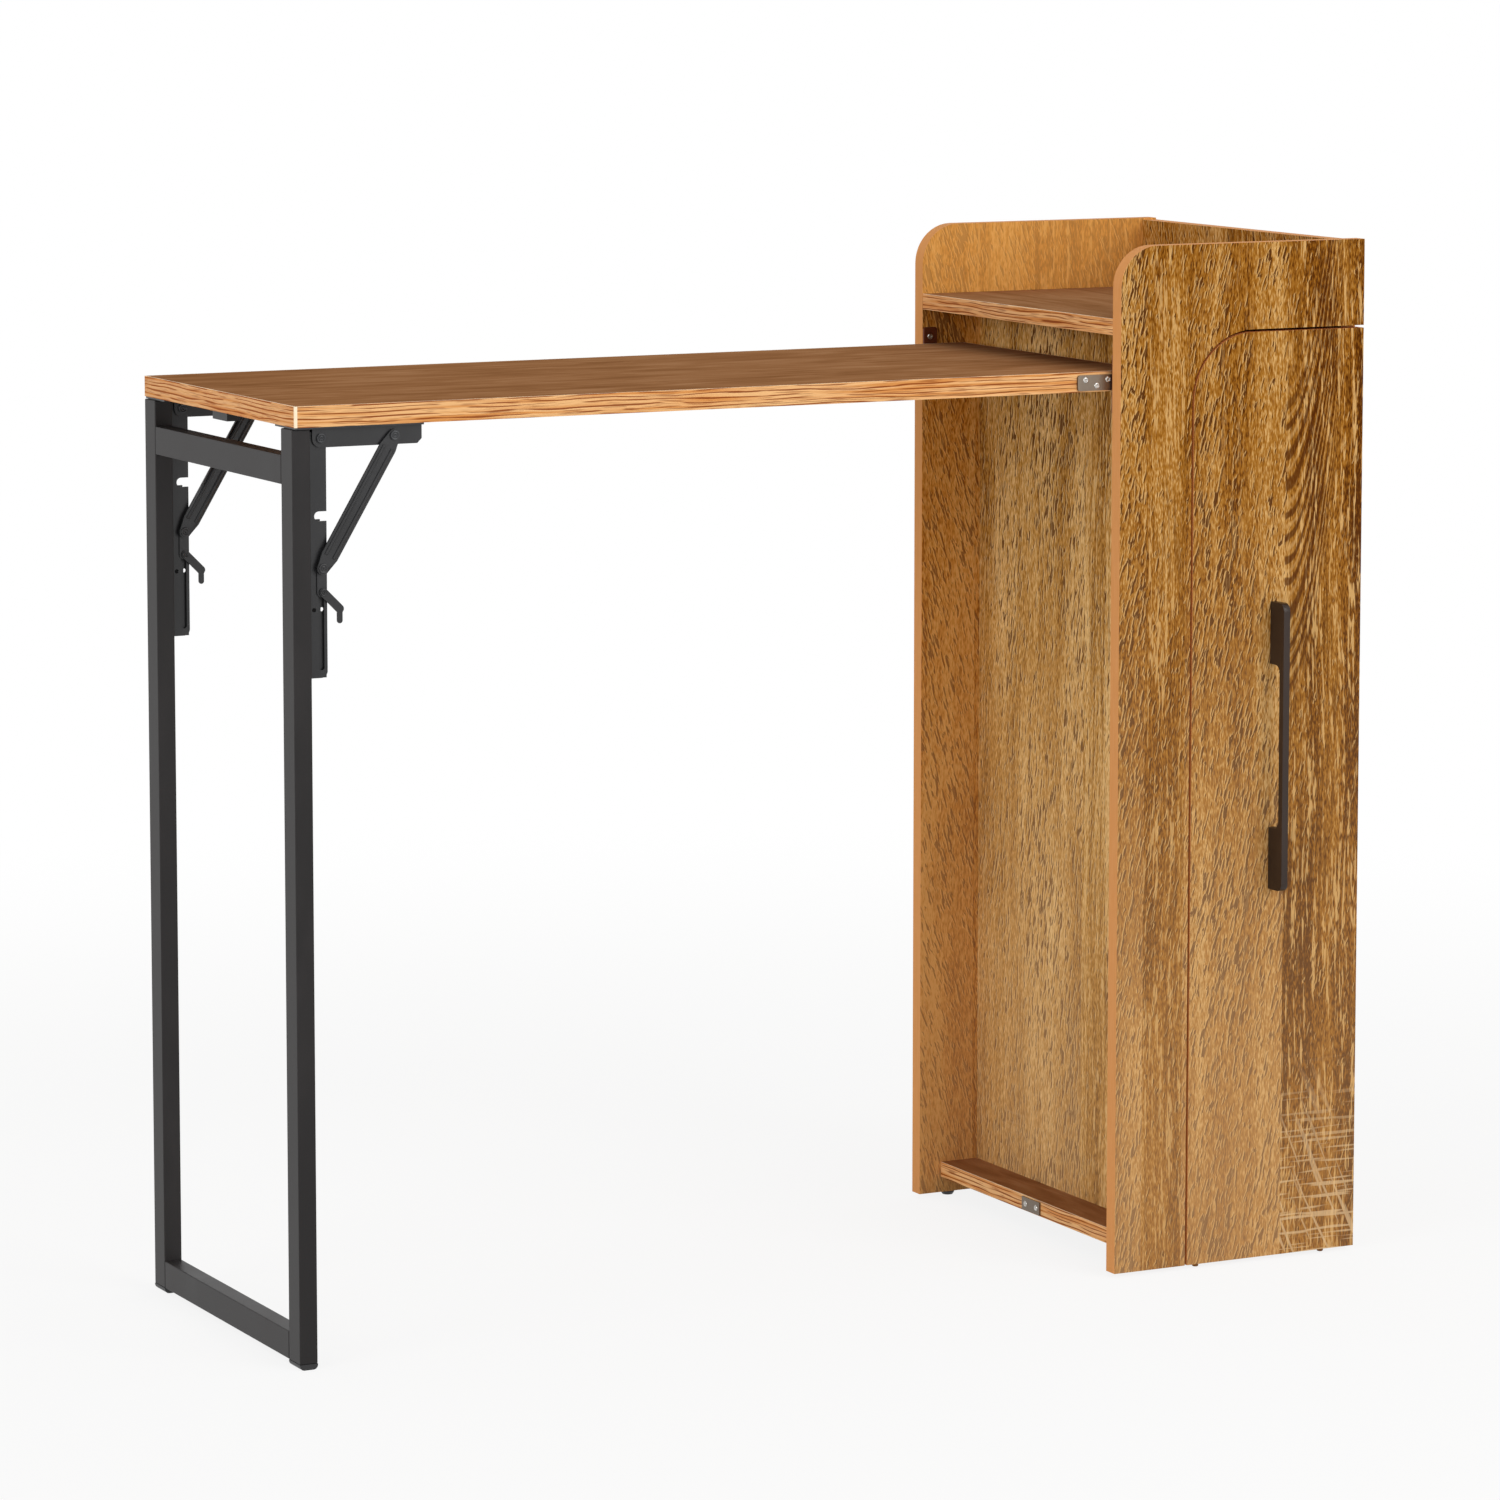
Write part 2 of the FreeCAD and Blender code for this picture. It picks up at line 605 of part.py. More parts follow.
def make_mounts():
    """The bracket mounts under the top: two webs on a forked flange, with their pivot pins and screws."""
    bores = []
    pins, screws = [], []
    outline = [("0", "0"), ("mount_length - mount_chamfer", "0"), ("mount_length", "mount_chamfer"),
               ("mount_length", "fold_drop + mount_back"), ("0", "fold_drop + mount_back")]
    flange_x = "top_end + flange_margin"
    flange_length = "fold_x + mount_reach - top_end - flange_margin"
    bridge_length = "fold_x - mount_back - post_gap - top_end - flange_margin"
    inward = {"near": 1, "far": -1}
    for side in SIDES:
        axis = f"{side}_axis"
        webs = [
            plate(f"{side}_mount_web_{step}", "XZ_Plane", outline, "sheet_gauge",
                  ("fold_x - mount_back", f"{axis} {start}", "fold_z - mount_back"),
                  [("mount_back", outline[0])])
            for step, start in (("outer", "- mount_half - sheet_gauge"), ("inner", "+ mount_half"))
        ]
        widths = {1: "flange_tab", -1: "flange_width"}
        low, high = widths[-inward[side]], widths[inward[side]]
        flanges = [
            box(f"{side}_flange_low", (flange_length, low, "flange_gauge"),
                (flange_x, f"{axis} - mount_half - {low}", "top_under - flange_gauge")),
            box(f"{side}_flange_high", (flange_length, high, "flange_gauge"),
                (flange_x, f"{axis} + mount_half", "top_under - flange_gauge")),
            box(f"{side}_flange_bridge", (bridge_length, "2 * mount_half", "flange_gauge"),
                (flange_x, f"{axis} - mount_half", "top_under - flange_gauge")),
        ]
        holes = []
        for name, x in (("fold", "fold_x"), ("brace", "brace_x")):
            reach = "brace_face + brace_play" if name == "brace" else "mount_half + sheet_gauge"
            span = "2 * mount_half + 2 * sheet_gauge"
            start = (x, f"{axis} - mount_half - sheet_gauge", "fold_z")
            shank = rod(f"{side}_{name}_shank", "y", "pivot_pin_radius",
                        f"{reach} + mount_half + sheet_gauge", (x, f"{axis} - ({reach})", "fold_z"))
            heads = [
                rod(f"{side}_{name}_head_{end}", "y", "pivot_pin_head", "pivot_pin_head_height",
                    (x, place, "fold_z"))
                for end, place in (
                    ("low", f"{axis} - ({reach}) - pivot_pin_head_height"),
                    ("high", f"{axis} + mount_half + sheet_gauge"),
                )
            ]
            if name == "brace":
                heads.append(rod(f"{side}_brace_washer", "y", "pivot_pin_head",
                                 "brace_back - brace_play - mount_half - sheet_gauge",
                                 (x, f"{axis} - brace_back + brace_play", "fold_z")))
            pins.append(fuse(f"{side}_{name}_pin", [shank] + heads))
            holes.append(rod(f"{side}_{name}_hole", "y", "pivot_pin_radius + screw_fit", span, start))
        tab_middle = f"{axis} + ({inward[side]}) * (mount_half + flange_tab - mount_screw_margin / 2)"
        spots = (f"{flange_x} + mount_screw_margin", "brace_x - mount_screw_margin",
                 "fold_x + mount_reach - mount_screw_margin")
        for number, x in enumerate(spots):
            seat = (x, tab_middle, "top_under - flange_gauge")
            solid, bore = screw(f"{side}_mount_screw_{number}", "z", 1, seat)
            screws.append(solid)
            holes.append(bore)
            bores.append(bore)
        blank = fuse(f"{side}_mount_blank", webs + flanges)
        keep(cut(f"{side}_mount", blank, holes), f"{side}_bracket_mount")
    keep(group("bracket_pins", pins), "bracket_pivot_pins")
    keep(group("mount_screws", screws), "bracket_mount_screws")
    return bores


def make_leg_plates():
    """The slotted channels riveted to the posts; gives the rivets' bores by side."""
    rivets = []
    bores = {}
    outline = [("0", "0"), ("leg_plate_width", "0"), ("leg_plate_width", "leg_plate_length"),
               ("0", "leg_plate_length")]
    rounds = [("leg_plate_round", outline[1]), ("leg_plate_front", outline[2])]
    for side in SIDES:
        axis = f"{side}_axis"
        width = "2 * leg_plate_half"
        low = f"{axis} - leg_plate_half"
        flanges = [
            plate(f"{side}_leg_flange_{step}", "XZ_Plane", outline, "sheet_gauge",
                  ("post_in", start, "leg_plate_bottom"), rounds)
            for step, start in (("low", low), ("high", f"{axis} + leg_plate_half - sheet_gauge"))
        ]
        web = box(f"{side}_leg_web", ("sheet_gauge", width, "leg_plate_length"),
                  ("post_in", low, "leg_plate_bottom"))
        holes = [
            rod(f"{side}_leg_fold_hole", "y", "pivot_pin_radius + running_fit", width,
                ("fold_x", low, "fold_z")),
            box(f"{side}_slot", ("2 * slot_half", "sheet_gauge", "slide_travel"),
                ("fold_x - slot_half", low, "lock_z - slide_travel")),
            rod(f"{side}_slot_top", "y", "slot_half", "sheet_gauge", ("fold_x", low, "lock_z")),
            rod(f"{side}_slot_end", "y", "slot_half", "sheet_gauge",
                ("fold_x", low, "lock_z - slide_travel")),
            rod(f"{side}_sight_left", "y", "sight_radius", width,
                ("fold_x - sight_inset", low, "fold_z - sight_drop")),
            rod(f"{side}_sight_right", "y", "sight_radius", "leg_plate_half",
                ("fold_x + sight_offset", f"{low} + sheet_gauge", "fold_z - sight_drop")),
            box(f"{side}_notch", ("notch_depth - notch_half + leg_plate_front", width, "2 * notch_half"),
                ("fold_x - notch_depth + notch_half", low, "fold_z - brace_base - notch_half")),
            rod(f"{side}_notch_end", "y", "notch_half", width,
                ("fold_x - notch_depth + notch_half", low, "fold_z - brace_base")),
        ]
        bores[side] = []
        rivet_length = "sheet_gauge + tube_wall + rivet_tail"
        spots = ("fold_z - brace_base / 2", "lock_z + brace_base / 4",
                 "lock_z - slide_travel + leg_plate_round")
        for number, z in enumerate(spots):
            solid, bore = fastener(f"{side}_leg_rivet_{number}", "x", -1, ("post_in + sheet_gauge", axis, z),
                                   "rivet_radius", rivet_length, "rivet_head", "rivet_head_height")
            rivets.append(solid)
            bores[side].append(bore)
        guide_x = "fold_x - guide_back"
        guide_width = "guide_back + guide_front"
        guide = [
            box(f"{side}_guide", (guide_width, "sheet_gauge", "guide_length"),
                (guide_x, f"{low} + sheet_gauge + guide_room", "leg_plate_bottom")),
            box(f"{side}_guide_foot", (guide_width, "guide_room", "guide_end"),
                (guide_x, f"{low} + sheet_gauge", "leg_plate_bottom")),
            box(f"{side}_guide_head", (guide_width, "guide_room", "guide_end"),
                (guide_x, f"{low} + sheet_gauge", "leg_plate_bottom + guide_length - guide_end")),
        ]
        channel = fuse(f"{side}_leg_channel", flanges + guide + [web])
        keep(cut(f"{side}_leg_plate_cut", channel, holes + bores[side]), f"{side}_leg_plate")
    keep(group("leg_rivets", rivets), "leg_plate_rivets")
    return bores


def make_leg(rivet_bores):
    """The leg frame: two posts, two crossbars, foot caps and end plugs."""
    feet, plugs = [], []
    foot_outline = [("0", "0"), ("post_depth", "0"), ("post_depth", "foot_height"), ("0", "foot_height")]
    inside = ("post_depth - 2 * tube_wall - 2 * plug_fit", "post_width - 2 * tube_wall - 2 * plug_fit",
              "plug_length")
    for side in SIDES:
        low = f"{side}_axis - post_width / 2"
        post = tube(f"{side}_post_tube", "z", ("post_depth", "post_width", "post_top - foot_height"),
                    ("leg_end", low, "foot_height"))
        keep(cut(f"{side}_post", post, rivet_bores[side]), f"{side}_leg_post")
        sole = plate(f"{side}_sole", "XZ_Plane", foot_outline, "post_width", ("leg_end", low, "0"),
                     [("foot_round", foot_outline[0]), ("foot_round", foot_outline[1])])
        plug_x, plug_y = "leg_end + tube_wall + plug_fit", f"{low} + tube_wall + plug_fit"
        plug = box(f"{side}_foot_plug", inside, (plug_x, plug_y, "foot_height"))
        feet.append(fuse(f"{side}_foot", [sole, plug]))
        plugs.append(box(f"{side}_top_plug", inside, (plug_x, plug_y, "post_top - plug_length")))
    bar_size = ("post_depth", "bar_length", "bar_height")
    upper_z = "top_under - upper_bar_drop - bar_height"
    keep(tube("upper_bar", "y", bar_size, ("leg_end", "bar_start", upper_z)), "upper_crossbar")
    keep(tube("lower_bar", "y", bar_size, ("leg_end", "bar_start", "lower_bar_lift")), "lower_crossbar")
    keep(group("feet", feet), "leg_foot_caps")
    keep(group("end_plugs", plugs), "leg_end_plugs")


def make_braces():
    """The ribbed brace arms, each drawn along X from its upper pivot and turned to the lock."""
    under, over = "brace_half - brace_eye", "brace_half + brace_eye"
    shoulder = "brace_length - brace_taper"
    outline = [("0", under), ("brace_taper", "0"), (shoulder, "0"), ("brace_length", under),
               ("brace_length", over), (shoulder, "2 * brace_half"), ("brace_taper", "2 * brace_half"),
               ("0", over)]
    for side in SIDES:
        name = f"{side}_brace"
        low = "- brace_face"
        rib_length = "brace_length - 2 * brace_rib_margin"
        solid = fuse(name + "_blank", [
            plate(name + "_bar", "XZ_Plane", outline, "brace_gauge", ("0", low, "- brace_half"), []),
            rod(name + "_upper_eye", "y", "brace_eye", "brace_gauge", ("0", low, "0")),
            rod(name + "_lower_eye", "y", "brace_eye", "brace_gauge", ("brace_length", low, "0")),
            rod(name + "_upper_rib", "x", "brace_rib", rib_length,
                ("brace_rib_margin", low, "brace_rib_offset")),
            rod(name + "_lower_rib", "x", "brace_rib", rib_length,
                ("brace_rib_margin", low, "- brace_rib_offset")),
            rod(name + "_rivet", "y", "stud_head", "stud_head_height",
                ("brace_length", "- brace_face - stud_head_height", "0")),
        ])
        hole = rod(name + "_hole", "y", "pivot_pin_radius + running_fit", "brace_gauge", ("0", low, "0"))
        arm = cut(name + "_arm_cut", solid, [hole])
        arm.Placement.Rotation = FreeCAD.Rotation(FreeCAD.Vector(0, 1, 0), 0)
        arm.setExpression("Placement.Rotation.Angle", named("180 deg - atan(lock_drop / brace_base)"))
        move(arm, ("brace_x", f"{side}_axis", "fold_z"))
        keep(arm, name + "_arm")


def make_carriages():
    """The carriages of the braces' lower ends: a slide plate on a headed stud in the leg plate's slot."""
    for side in SIDES:
        axis = f"{side}_axis"
        name = f"{side}_carriage"
        plate_y = f"{axis} - carriage_y"
        inner_y = f"{axis} - leg_plate_half + sheet_gauge + stud_gap"
        keep(fuse(name + "_solid", [
            box(name + "_bar", ("2 * carriage_half", "carriage_gauge", "lever_pin_drop"),
                ("fold_x - carriage_half", plate_y, "lever_z")),
            rod(name + "_top", "y", "carriage_half", "carriage_gauge", ("fold_x", plate_y, "lock_z")),
            rod(name + "_end", "y", "carriage_half", "carriage_gauge", ("fold_x", plate_y, "lever_z")),
            rod(name + "_stud", "y", "pivot_pin_radius", "sheet_gauge + 2 * stud_gap",
                ("fold_x", f"{axis} - leg_plate_half - stud_gap", "lock_z")),
            rod(name + "_inner_head", "y", "stud_head", "stud_head_height", ("fold_x", inner_y, "lock_z")),
            rod(name + "_lever_pin", "y", "lever_pin_radius", "lever_gauge + 2 * lever_play",
                ("lever_x", f"{axis} - lever_y - lever_play", "lever_z")),
            rod(name + "_lever_head", "y", "lever_pin_head", "rivet_head_height",
                ("lever_x", f"{axis} - lever_y - lever_play - rivet_head_height", "lever_z")),
        ]), f"{side}_slide_carriage")


def make_levers():
    """The release levers: a sloping arm with a hooked thumb end, on a pin of each carriage."""
    for side in SIDES:
        name = f"{side}_lever"
        pivot = ("lever_x", f"{side}_axis - lever_y", "lever_z")
        reach = "lever_arm * cos(45)"
        tip_x, tip_z = f"lever_x + {reach}", f"lever_z - {reach}"
        arm = box(name + "_bar", ("lever_arm", "lever_gauge", "2 * lever_arm_half"), pivot)
        arm.Placement.Rotation = FreeCAD.Rotation(FreeCAD.Vector(0, 1, 0), 45)
        shift = "lever_arm_half * cos(45)"
        move(arm, (f"{pivot[0]} - {shift}", pivot[1], f"{pivot[2]} - {shift}"))
        solid = fuse(name + "_blank", [
            arm,
            rod(name + "_eye", "y", "lever_arm_half", "lever_gauge", pivot),
            rod(name + "_elbow", "y", "lever_arm_half", "lever_gauge", (tip_x, pivot[1], tip_z)),
            box(name + "_hook", ("2 * lever_hook_half", "lever_gauge", "lever_hook"),
                (f"{tip_x} - lever_hook_half", pivot[1], f"{tip_z} - lever_hook")),
            rod(name + "_thumb", "y", "lever_hook_half", "lever_gauge",
                (tip_x, pivot[1], f"{tip_z} - lever_hook")),
        ])
        hole = rod(name + "_hole", "y", "lever_pin_radius + running_fit", "lever_gauge", pivot)
        keep(cut(name + "_cut", solid, [hole]), f"{side}_release_lever")


def make_trolley():
    """The pull-out trolley: front, rear, base and tiers, with guard rods between front and rear."""
    handle_bores = make_handle()
    width = "cabinet_depth - strip_width - reveal"
    height = "band_bottom - reveal - floor_gap"
    outline = [("0", "0"), (width, "0"), (width, height), ("0", height)]
    front = plate("trolley_front_board", "XZ_Plane", outline, "panel_thickness - bay_seat",
                  ("front_x + strip_width + reveal", "near_face", "floor_gap"),
                  [("arch_round - reveal", outline[3])])
    keep(cut("trolley_front_cut", front, handle_bores), "trolley_front")
    spots = {"left": "front_x + strip_width + reveal + button_left", "right": "back_x - button_right"}
    buttons = [
        rod(f"front_button_{edge}", "z", "button_radius", "button_height",
            (x, "near_face + panel_thickness / 2", "floor_gap - button_height"))
        for edge, x in spots.items()
    ]
    keep(group("front_buttons", buttons), "trolley_front_buttons")
    keep(box("trolley_base_board", ("trolley_width", "trolley_far - trolley_near", "trolley_board"),
             ("trolley_x", "trolley_near", "base_underside")), "trolley_base")
    keep(box("trolley_rear_board", ("trolley_width", "trolley_board", "rear_top - base_top"),
             ("trolley_x", "trolley_far - trolley_board", "base_top")), "trolley_rear")
    tiers = ("base_top", "base_top + tier_step", "base_top + 2 * tier_step")
    for name, tier in zip(("lower", "upper"), tiers[1:]):
        keep(box(f"trolley_{name}_board", ("trolley_width", "tier_depth", "trolley_board"),
                 ("trolley_x", "trolley_near", f"{tier} - trolley_board")), f"trolley_{name}_shelf")
    edges = {"left": "trolley_x + guard_inset", "right": "trolley_x + trolley_width - guard_inset"}
    guards = [
        rod(f"guard_{number}_{edge}", "y", "guard_radius", "tier_depth",
            (x, "trolley_near", f"{tier} + guard_lift"))
        for number, tier in enumerate(tiers)
        for edge, x in edges.items()
    ]
    keep(group("guards", guards), "trolley_guard_rods")
    make_rollers()


def make_handle():
    """The bow handle on the trolley's front, with two screws from inside."""
    low, high = "handle_foot", "handle_height - handle_foot"
    outline = [("0", "0"), ("handle_reach", "0"), ("handle_reach", low), ("handle_grip", low),
               ("handle_grip", high), ("handle_reach", high), ("handle_reach", "handle_height"),
               ("0", "handle_height")]
    rounds = [("handle_round", outline[k]) for k in (0, 3, 4, 7)]
    blank = plate("handle_blank", "YZ_Plane", outline, "handle_thickness",
                  ("handle_x", "near_face - handle_reach", "handle_bottom"), rounds)
    screws, bores = [], []
    length = "panel_thickness - bay_seat + handle_screw_bite"
    for number, z in enumerate(("handle_foot / 2", "handle_height - handle_foot / 2")):
        face = ("handle_x + handle_thickness / 2", "trolley_near", f"handle_bottom + {z}")
        solid, bore = screw(f"handle_screw_{number}", "y", -1, face, length)
        screws.append(solid)
        bores.append(bore)
    keep(cut("handle_cut", blank, bores), "trolley_handle")
    keep(group("handle_screw_pair", screws), "handle_screws")
    return bores


def make_rollers():
    """Four rollers, each in a folded steel bracket under the trolley's base."""
    brackets, axles = [], []
    columns = {"left": "trolley_x + roller_margin", "right": "trolley_x + trolley_width - roller_margin"}
    rows = {"front": "trolley_near + roller_setback", "rear": "trolley_far - roller_setback"}
    cheek_out = "roller_half + cheek_gap + cheek_gauge"
    for row, y in rows.items():
        for column, x in columns.items():
            name = f"{row}_{column}"
            axle_start = (f"{x} - ({cheek_out})", y, "roller_radius")
            cheek_size = ("cheek_gauge", "2 * cheek_half",
                          "base_underside - roller_radius + cheek_below_axle")
            cheek_y, cheek_z = f"{y} - cheek_half", "roller_radius - cheek_below_axle"
            blank = fuse(name + "_bracket_blank", [
                box(name + "_roof", ("2 * roller_plate_half", "2 * roller_plate_half", "cheek_gauge"),
                    (f"{x} - roller_plate_half", f"{y} - roller_plate_half", "base_underside - cheek_gauge")),
                box(name + "_cheek_low", cheek_size, (f"{x} - ({cheek_out})", cheek_y, cheek_z)),
                box(name + "_cheek_high", cheek_size, (f"{x} + roller_half + cheek_gap", cheek_y, cheek_z)),
            ])
            span = f"2 * ({cheek_out})"
            hole = rod(name + "_axle_hole", "x", "axle_radius + screw_fit", span, axle_start)
            brackets.append(cut(name + "_bracket", blank, [hole]))
            axles.append(rod(name + "_axle", "x", "axle_radius", span, axle_start))
            keep(make_wheel(name, (f"{x} - roller_half", y, "roller_radius")), f"{name}_roller")
    keep(group("brackets", brackets), "roller_brackets")
    keep(group("axles", axles), "roller_axles")


def make_wheel(name, start):
    """A roller turned about X: bore, flat sides and a rounded tread."""
    body = DOC.addObject("PartDesign::Body", name + "_wheel")
    sketch = body.newObject("Sketcher::SketchObject", name + "_section")
    support = next(face for face in body.Origin.OriginFeatures if face.Role == "XY_Plane")
    sketch.AttachmentSupport = (support, [""])
    sketch.MapMode = "FlatFace"
    bore, rim, width = "axle_radius + running_fit", "roller_radius", "2 * roller_half"
    outline = [("0", bore), (width, bore), (width, rim), ("0", rim)]
    points = [FreeCAD.Vector(value(x), value(y), 0) for x, y in outline]
    sketch.addGeometry([Part.LineSegment(a, b) for a, b in zip(points, points[1:] + points[:1])], False)
    for k, (x, y) in enumerate(outline):
        sketch.addConstraint(Sketcher.Constraint("Coincident", k, 2, (k + 1) % len(outline), 1))
        tie_point(sketch, k, "DistanceX", x, -2)
        tie_point(sketch, k, "DistanceY", y, -1)
    turned = body.newObject("PartDesign::Revolution", name + "_turned")
    turned.Profile = sketch
    turned.ReferenceAxis = (sketch, ["H_Axis"])
    turned.Angle = 360
    DOC.recompute()
    rims = [
        f"Edge{number}"
        for number, edge in enumerate(turned.Shape.Edges, start=1)
        if isinstance(edge.Curve, Part.Circle) and abs(edge.Curve.Radius - value(rim)) < 1e-5
    ]
    fillet = body.newObject("PartDesign::Fillet", name + "_tread")
    fillet.Base = (turned, rims)
    bind(fillet, Radius="roller_round")
    move(body, start)
    return body


def check_and_write():
    """Stops on any failed object or bad solid, then writes one file for each sub-part."""
    DOC.recompute()
    failed = [obj.Name for obj in DOC.Objects if {"Invalid", "Error"} & set(obj.State)]
    bad = [
        obj.Label
        for obj in NODES
        if obj.Shape.isNull() or not obj.Shape.isValid() or not obj.Shape.Solids
    ]
    if failed or bad:
        raise RuntimeError(f"failed objects: {failed}; bad shapes: {bad}")
    os.makedirs("parts", exist_ok=True)
    for obj in NODES:
        obj.Shape.exportStep(f"parts/{obj.Label}.step")
    print(f"{len(NODES)} sub-parts, {sum(len(obj.Shape.Solids) for obj in NODES)} solids")


def main():
    """Builds the sub-assemblies in order and writes their files."""
    hinge_bores = make_hinge_hardware()
    make_cabinet(hinge_bores)
    make_top(hinge_bores, make_mounts())
    make_leg(make_leg_plates())
    make_braces()
    make_carriages()
    make_levers()
    make_trolley()
    check_and_write()


main()
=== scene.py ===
"""Folding bar table with a pull-out trolley: materials, small hardware, light and camera."""

from __future__ import annotations

import json
import logging
import math
from dataclasses import dataclass, field
from enum import Enum
from typing import Iterable, Sequence, Union

import bmesh
import bpy
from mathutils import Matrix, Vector

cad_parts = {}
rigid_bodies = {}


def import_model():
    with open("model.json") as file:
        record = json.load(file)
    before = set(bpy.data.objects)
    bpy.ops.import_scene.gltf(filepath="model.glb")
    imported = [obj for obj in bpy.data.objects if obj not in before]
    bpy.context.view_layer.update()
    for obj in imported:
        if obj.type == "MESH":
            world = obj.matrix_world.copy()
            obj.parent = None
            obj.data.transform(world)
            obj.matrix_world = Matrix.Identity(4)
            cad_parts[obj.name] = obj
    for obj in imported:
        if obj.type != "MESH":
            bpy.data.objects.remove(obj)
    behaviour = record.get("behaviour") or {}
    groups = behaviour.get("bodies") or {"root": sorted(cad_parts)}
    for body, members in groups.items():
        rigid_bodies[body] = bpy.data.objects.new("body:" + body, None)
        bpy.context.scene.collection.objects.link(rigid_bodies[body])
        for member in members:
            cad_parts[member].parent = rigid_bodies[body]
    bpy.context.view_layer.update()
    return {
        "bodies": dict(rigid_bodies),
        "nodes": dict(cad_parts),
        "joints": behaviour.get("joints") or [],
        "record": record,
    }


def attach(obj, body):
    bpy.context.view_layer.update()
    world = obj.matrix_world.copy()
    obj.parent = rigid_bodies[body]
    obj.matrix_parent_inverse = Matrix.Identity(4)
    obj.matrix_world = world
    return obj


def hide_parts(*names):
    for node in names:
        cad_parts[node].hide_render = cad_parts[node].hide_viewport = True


LOG = logging.getLogger("bar_table")
IMAGE_SIDE = 1500.0
MERGE_GAP = 0.00001
WELD_GAP = 0.00002
FLAT_ANGLE = 0.01
EASE_ANGLE = math.radians(40.0)
SHARP_ANGLE = math.radians(32.0)
ROUND_SIDES = 12
ROUNDNESS = 0.97
CROSS_TURN = 0.7
CROSS_TAPER = 0.72

Colour = tuple[float, float, float, float]
Stop = tuple[float, Colour]


def tint(red: float, green: float, blue: float) -> Colour:
    """Turn an 8-bit display colour into a linear one.

    Args:
        red: Red, 0 to 255.
        green: Green, 0 to 255.
        blue: Blue, 0 to 255.

    Returns:
        The linear colour with full opacity.
    """
    def linear(level: float) -> float:
        level /= 255.0
        return level / 12.92 if level <= 0.04045 else ((level + 0.055) / 1.055) ** 2.4

    return (linear(red), linear(green), linear(blue), 1.0)


class Face(Enum):
    """The direction that the broad faces of a board look in."""

    SIDE = "y"
    FRONT = "x"


class Slot(Enum):
    """Material slots of the part's record."""

    DOWEL = "dowel_wood"
    BRACKET = "black_bracket"
    STEEL = "bright_steel"


@dataclass(frozen=True)
class Grain:
    """Fineness of a noise: how many grains to the metre across and along the wood."""

    across: float
    along: float
    detail: float = 2.0
    rough: float = 0.5
    bend: float = 0.0


class Wire:
    """A node output that takes part in arithmetic."""

    def __init__(self, graph: "Graph", socket: bpy.types.NodeSocket) -> None:
        self.graph = graph
        self.socket = socket

    def __add__(self, other: "Term") -> "Wire":
        return self.graph.math("ADD", self, other)

    def __sub__(self, other: "Term") -> "Wire":
        return self.graph.math("SUBTRACT", self, other)

    def __rsub__(self, other: "Term") -> "Wire":
        return self.graph.math("SUBTRACT", other, self)

    def __mul__(self, other: "Term") -> "Wire":
        return self.graph.math("MULTIPLY", self, other)

    __radd__ = __add__
    __rmul__ = __mul__


Term = Union[Wire, float, int]


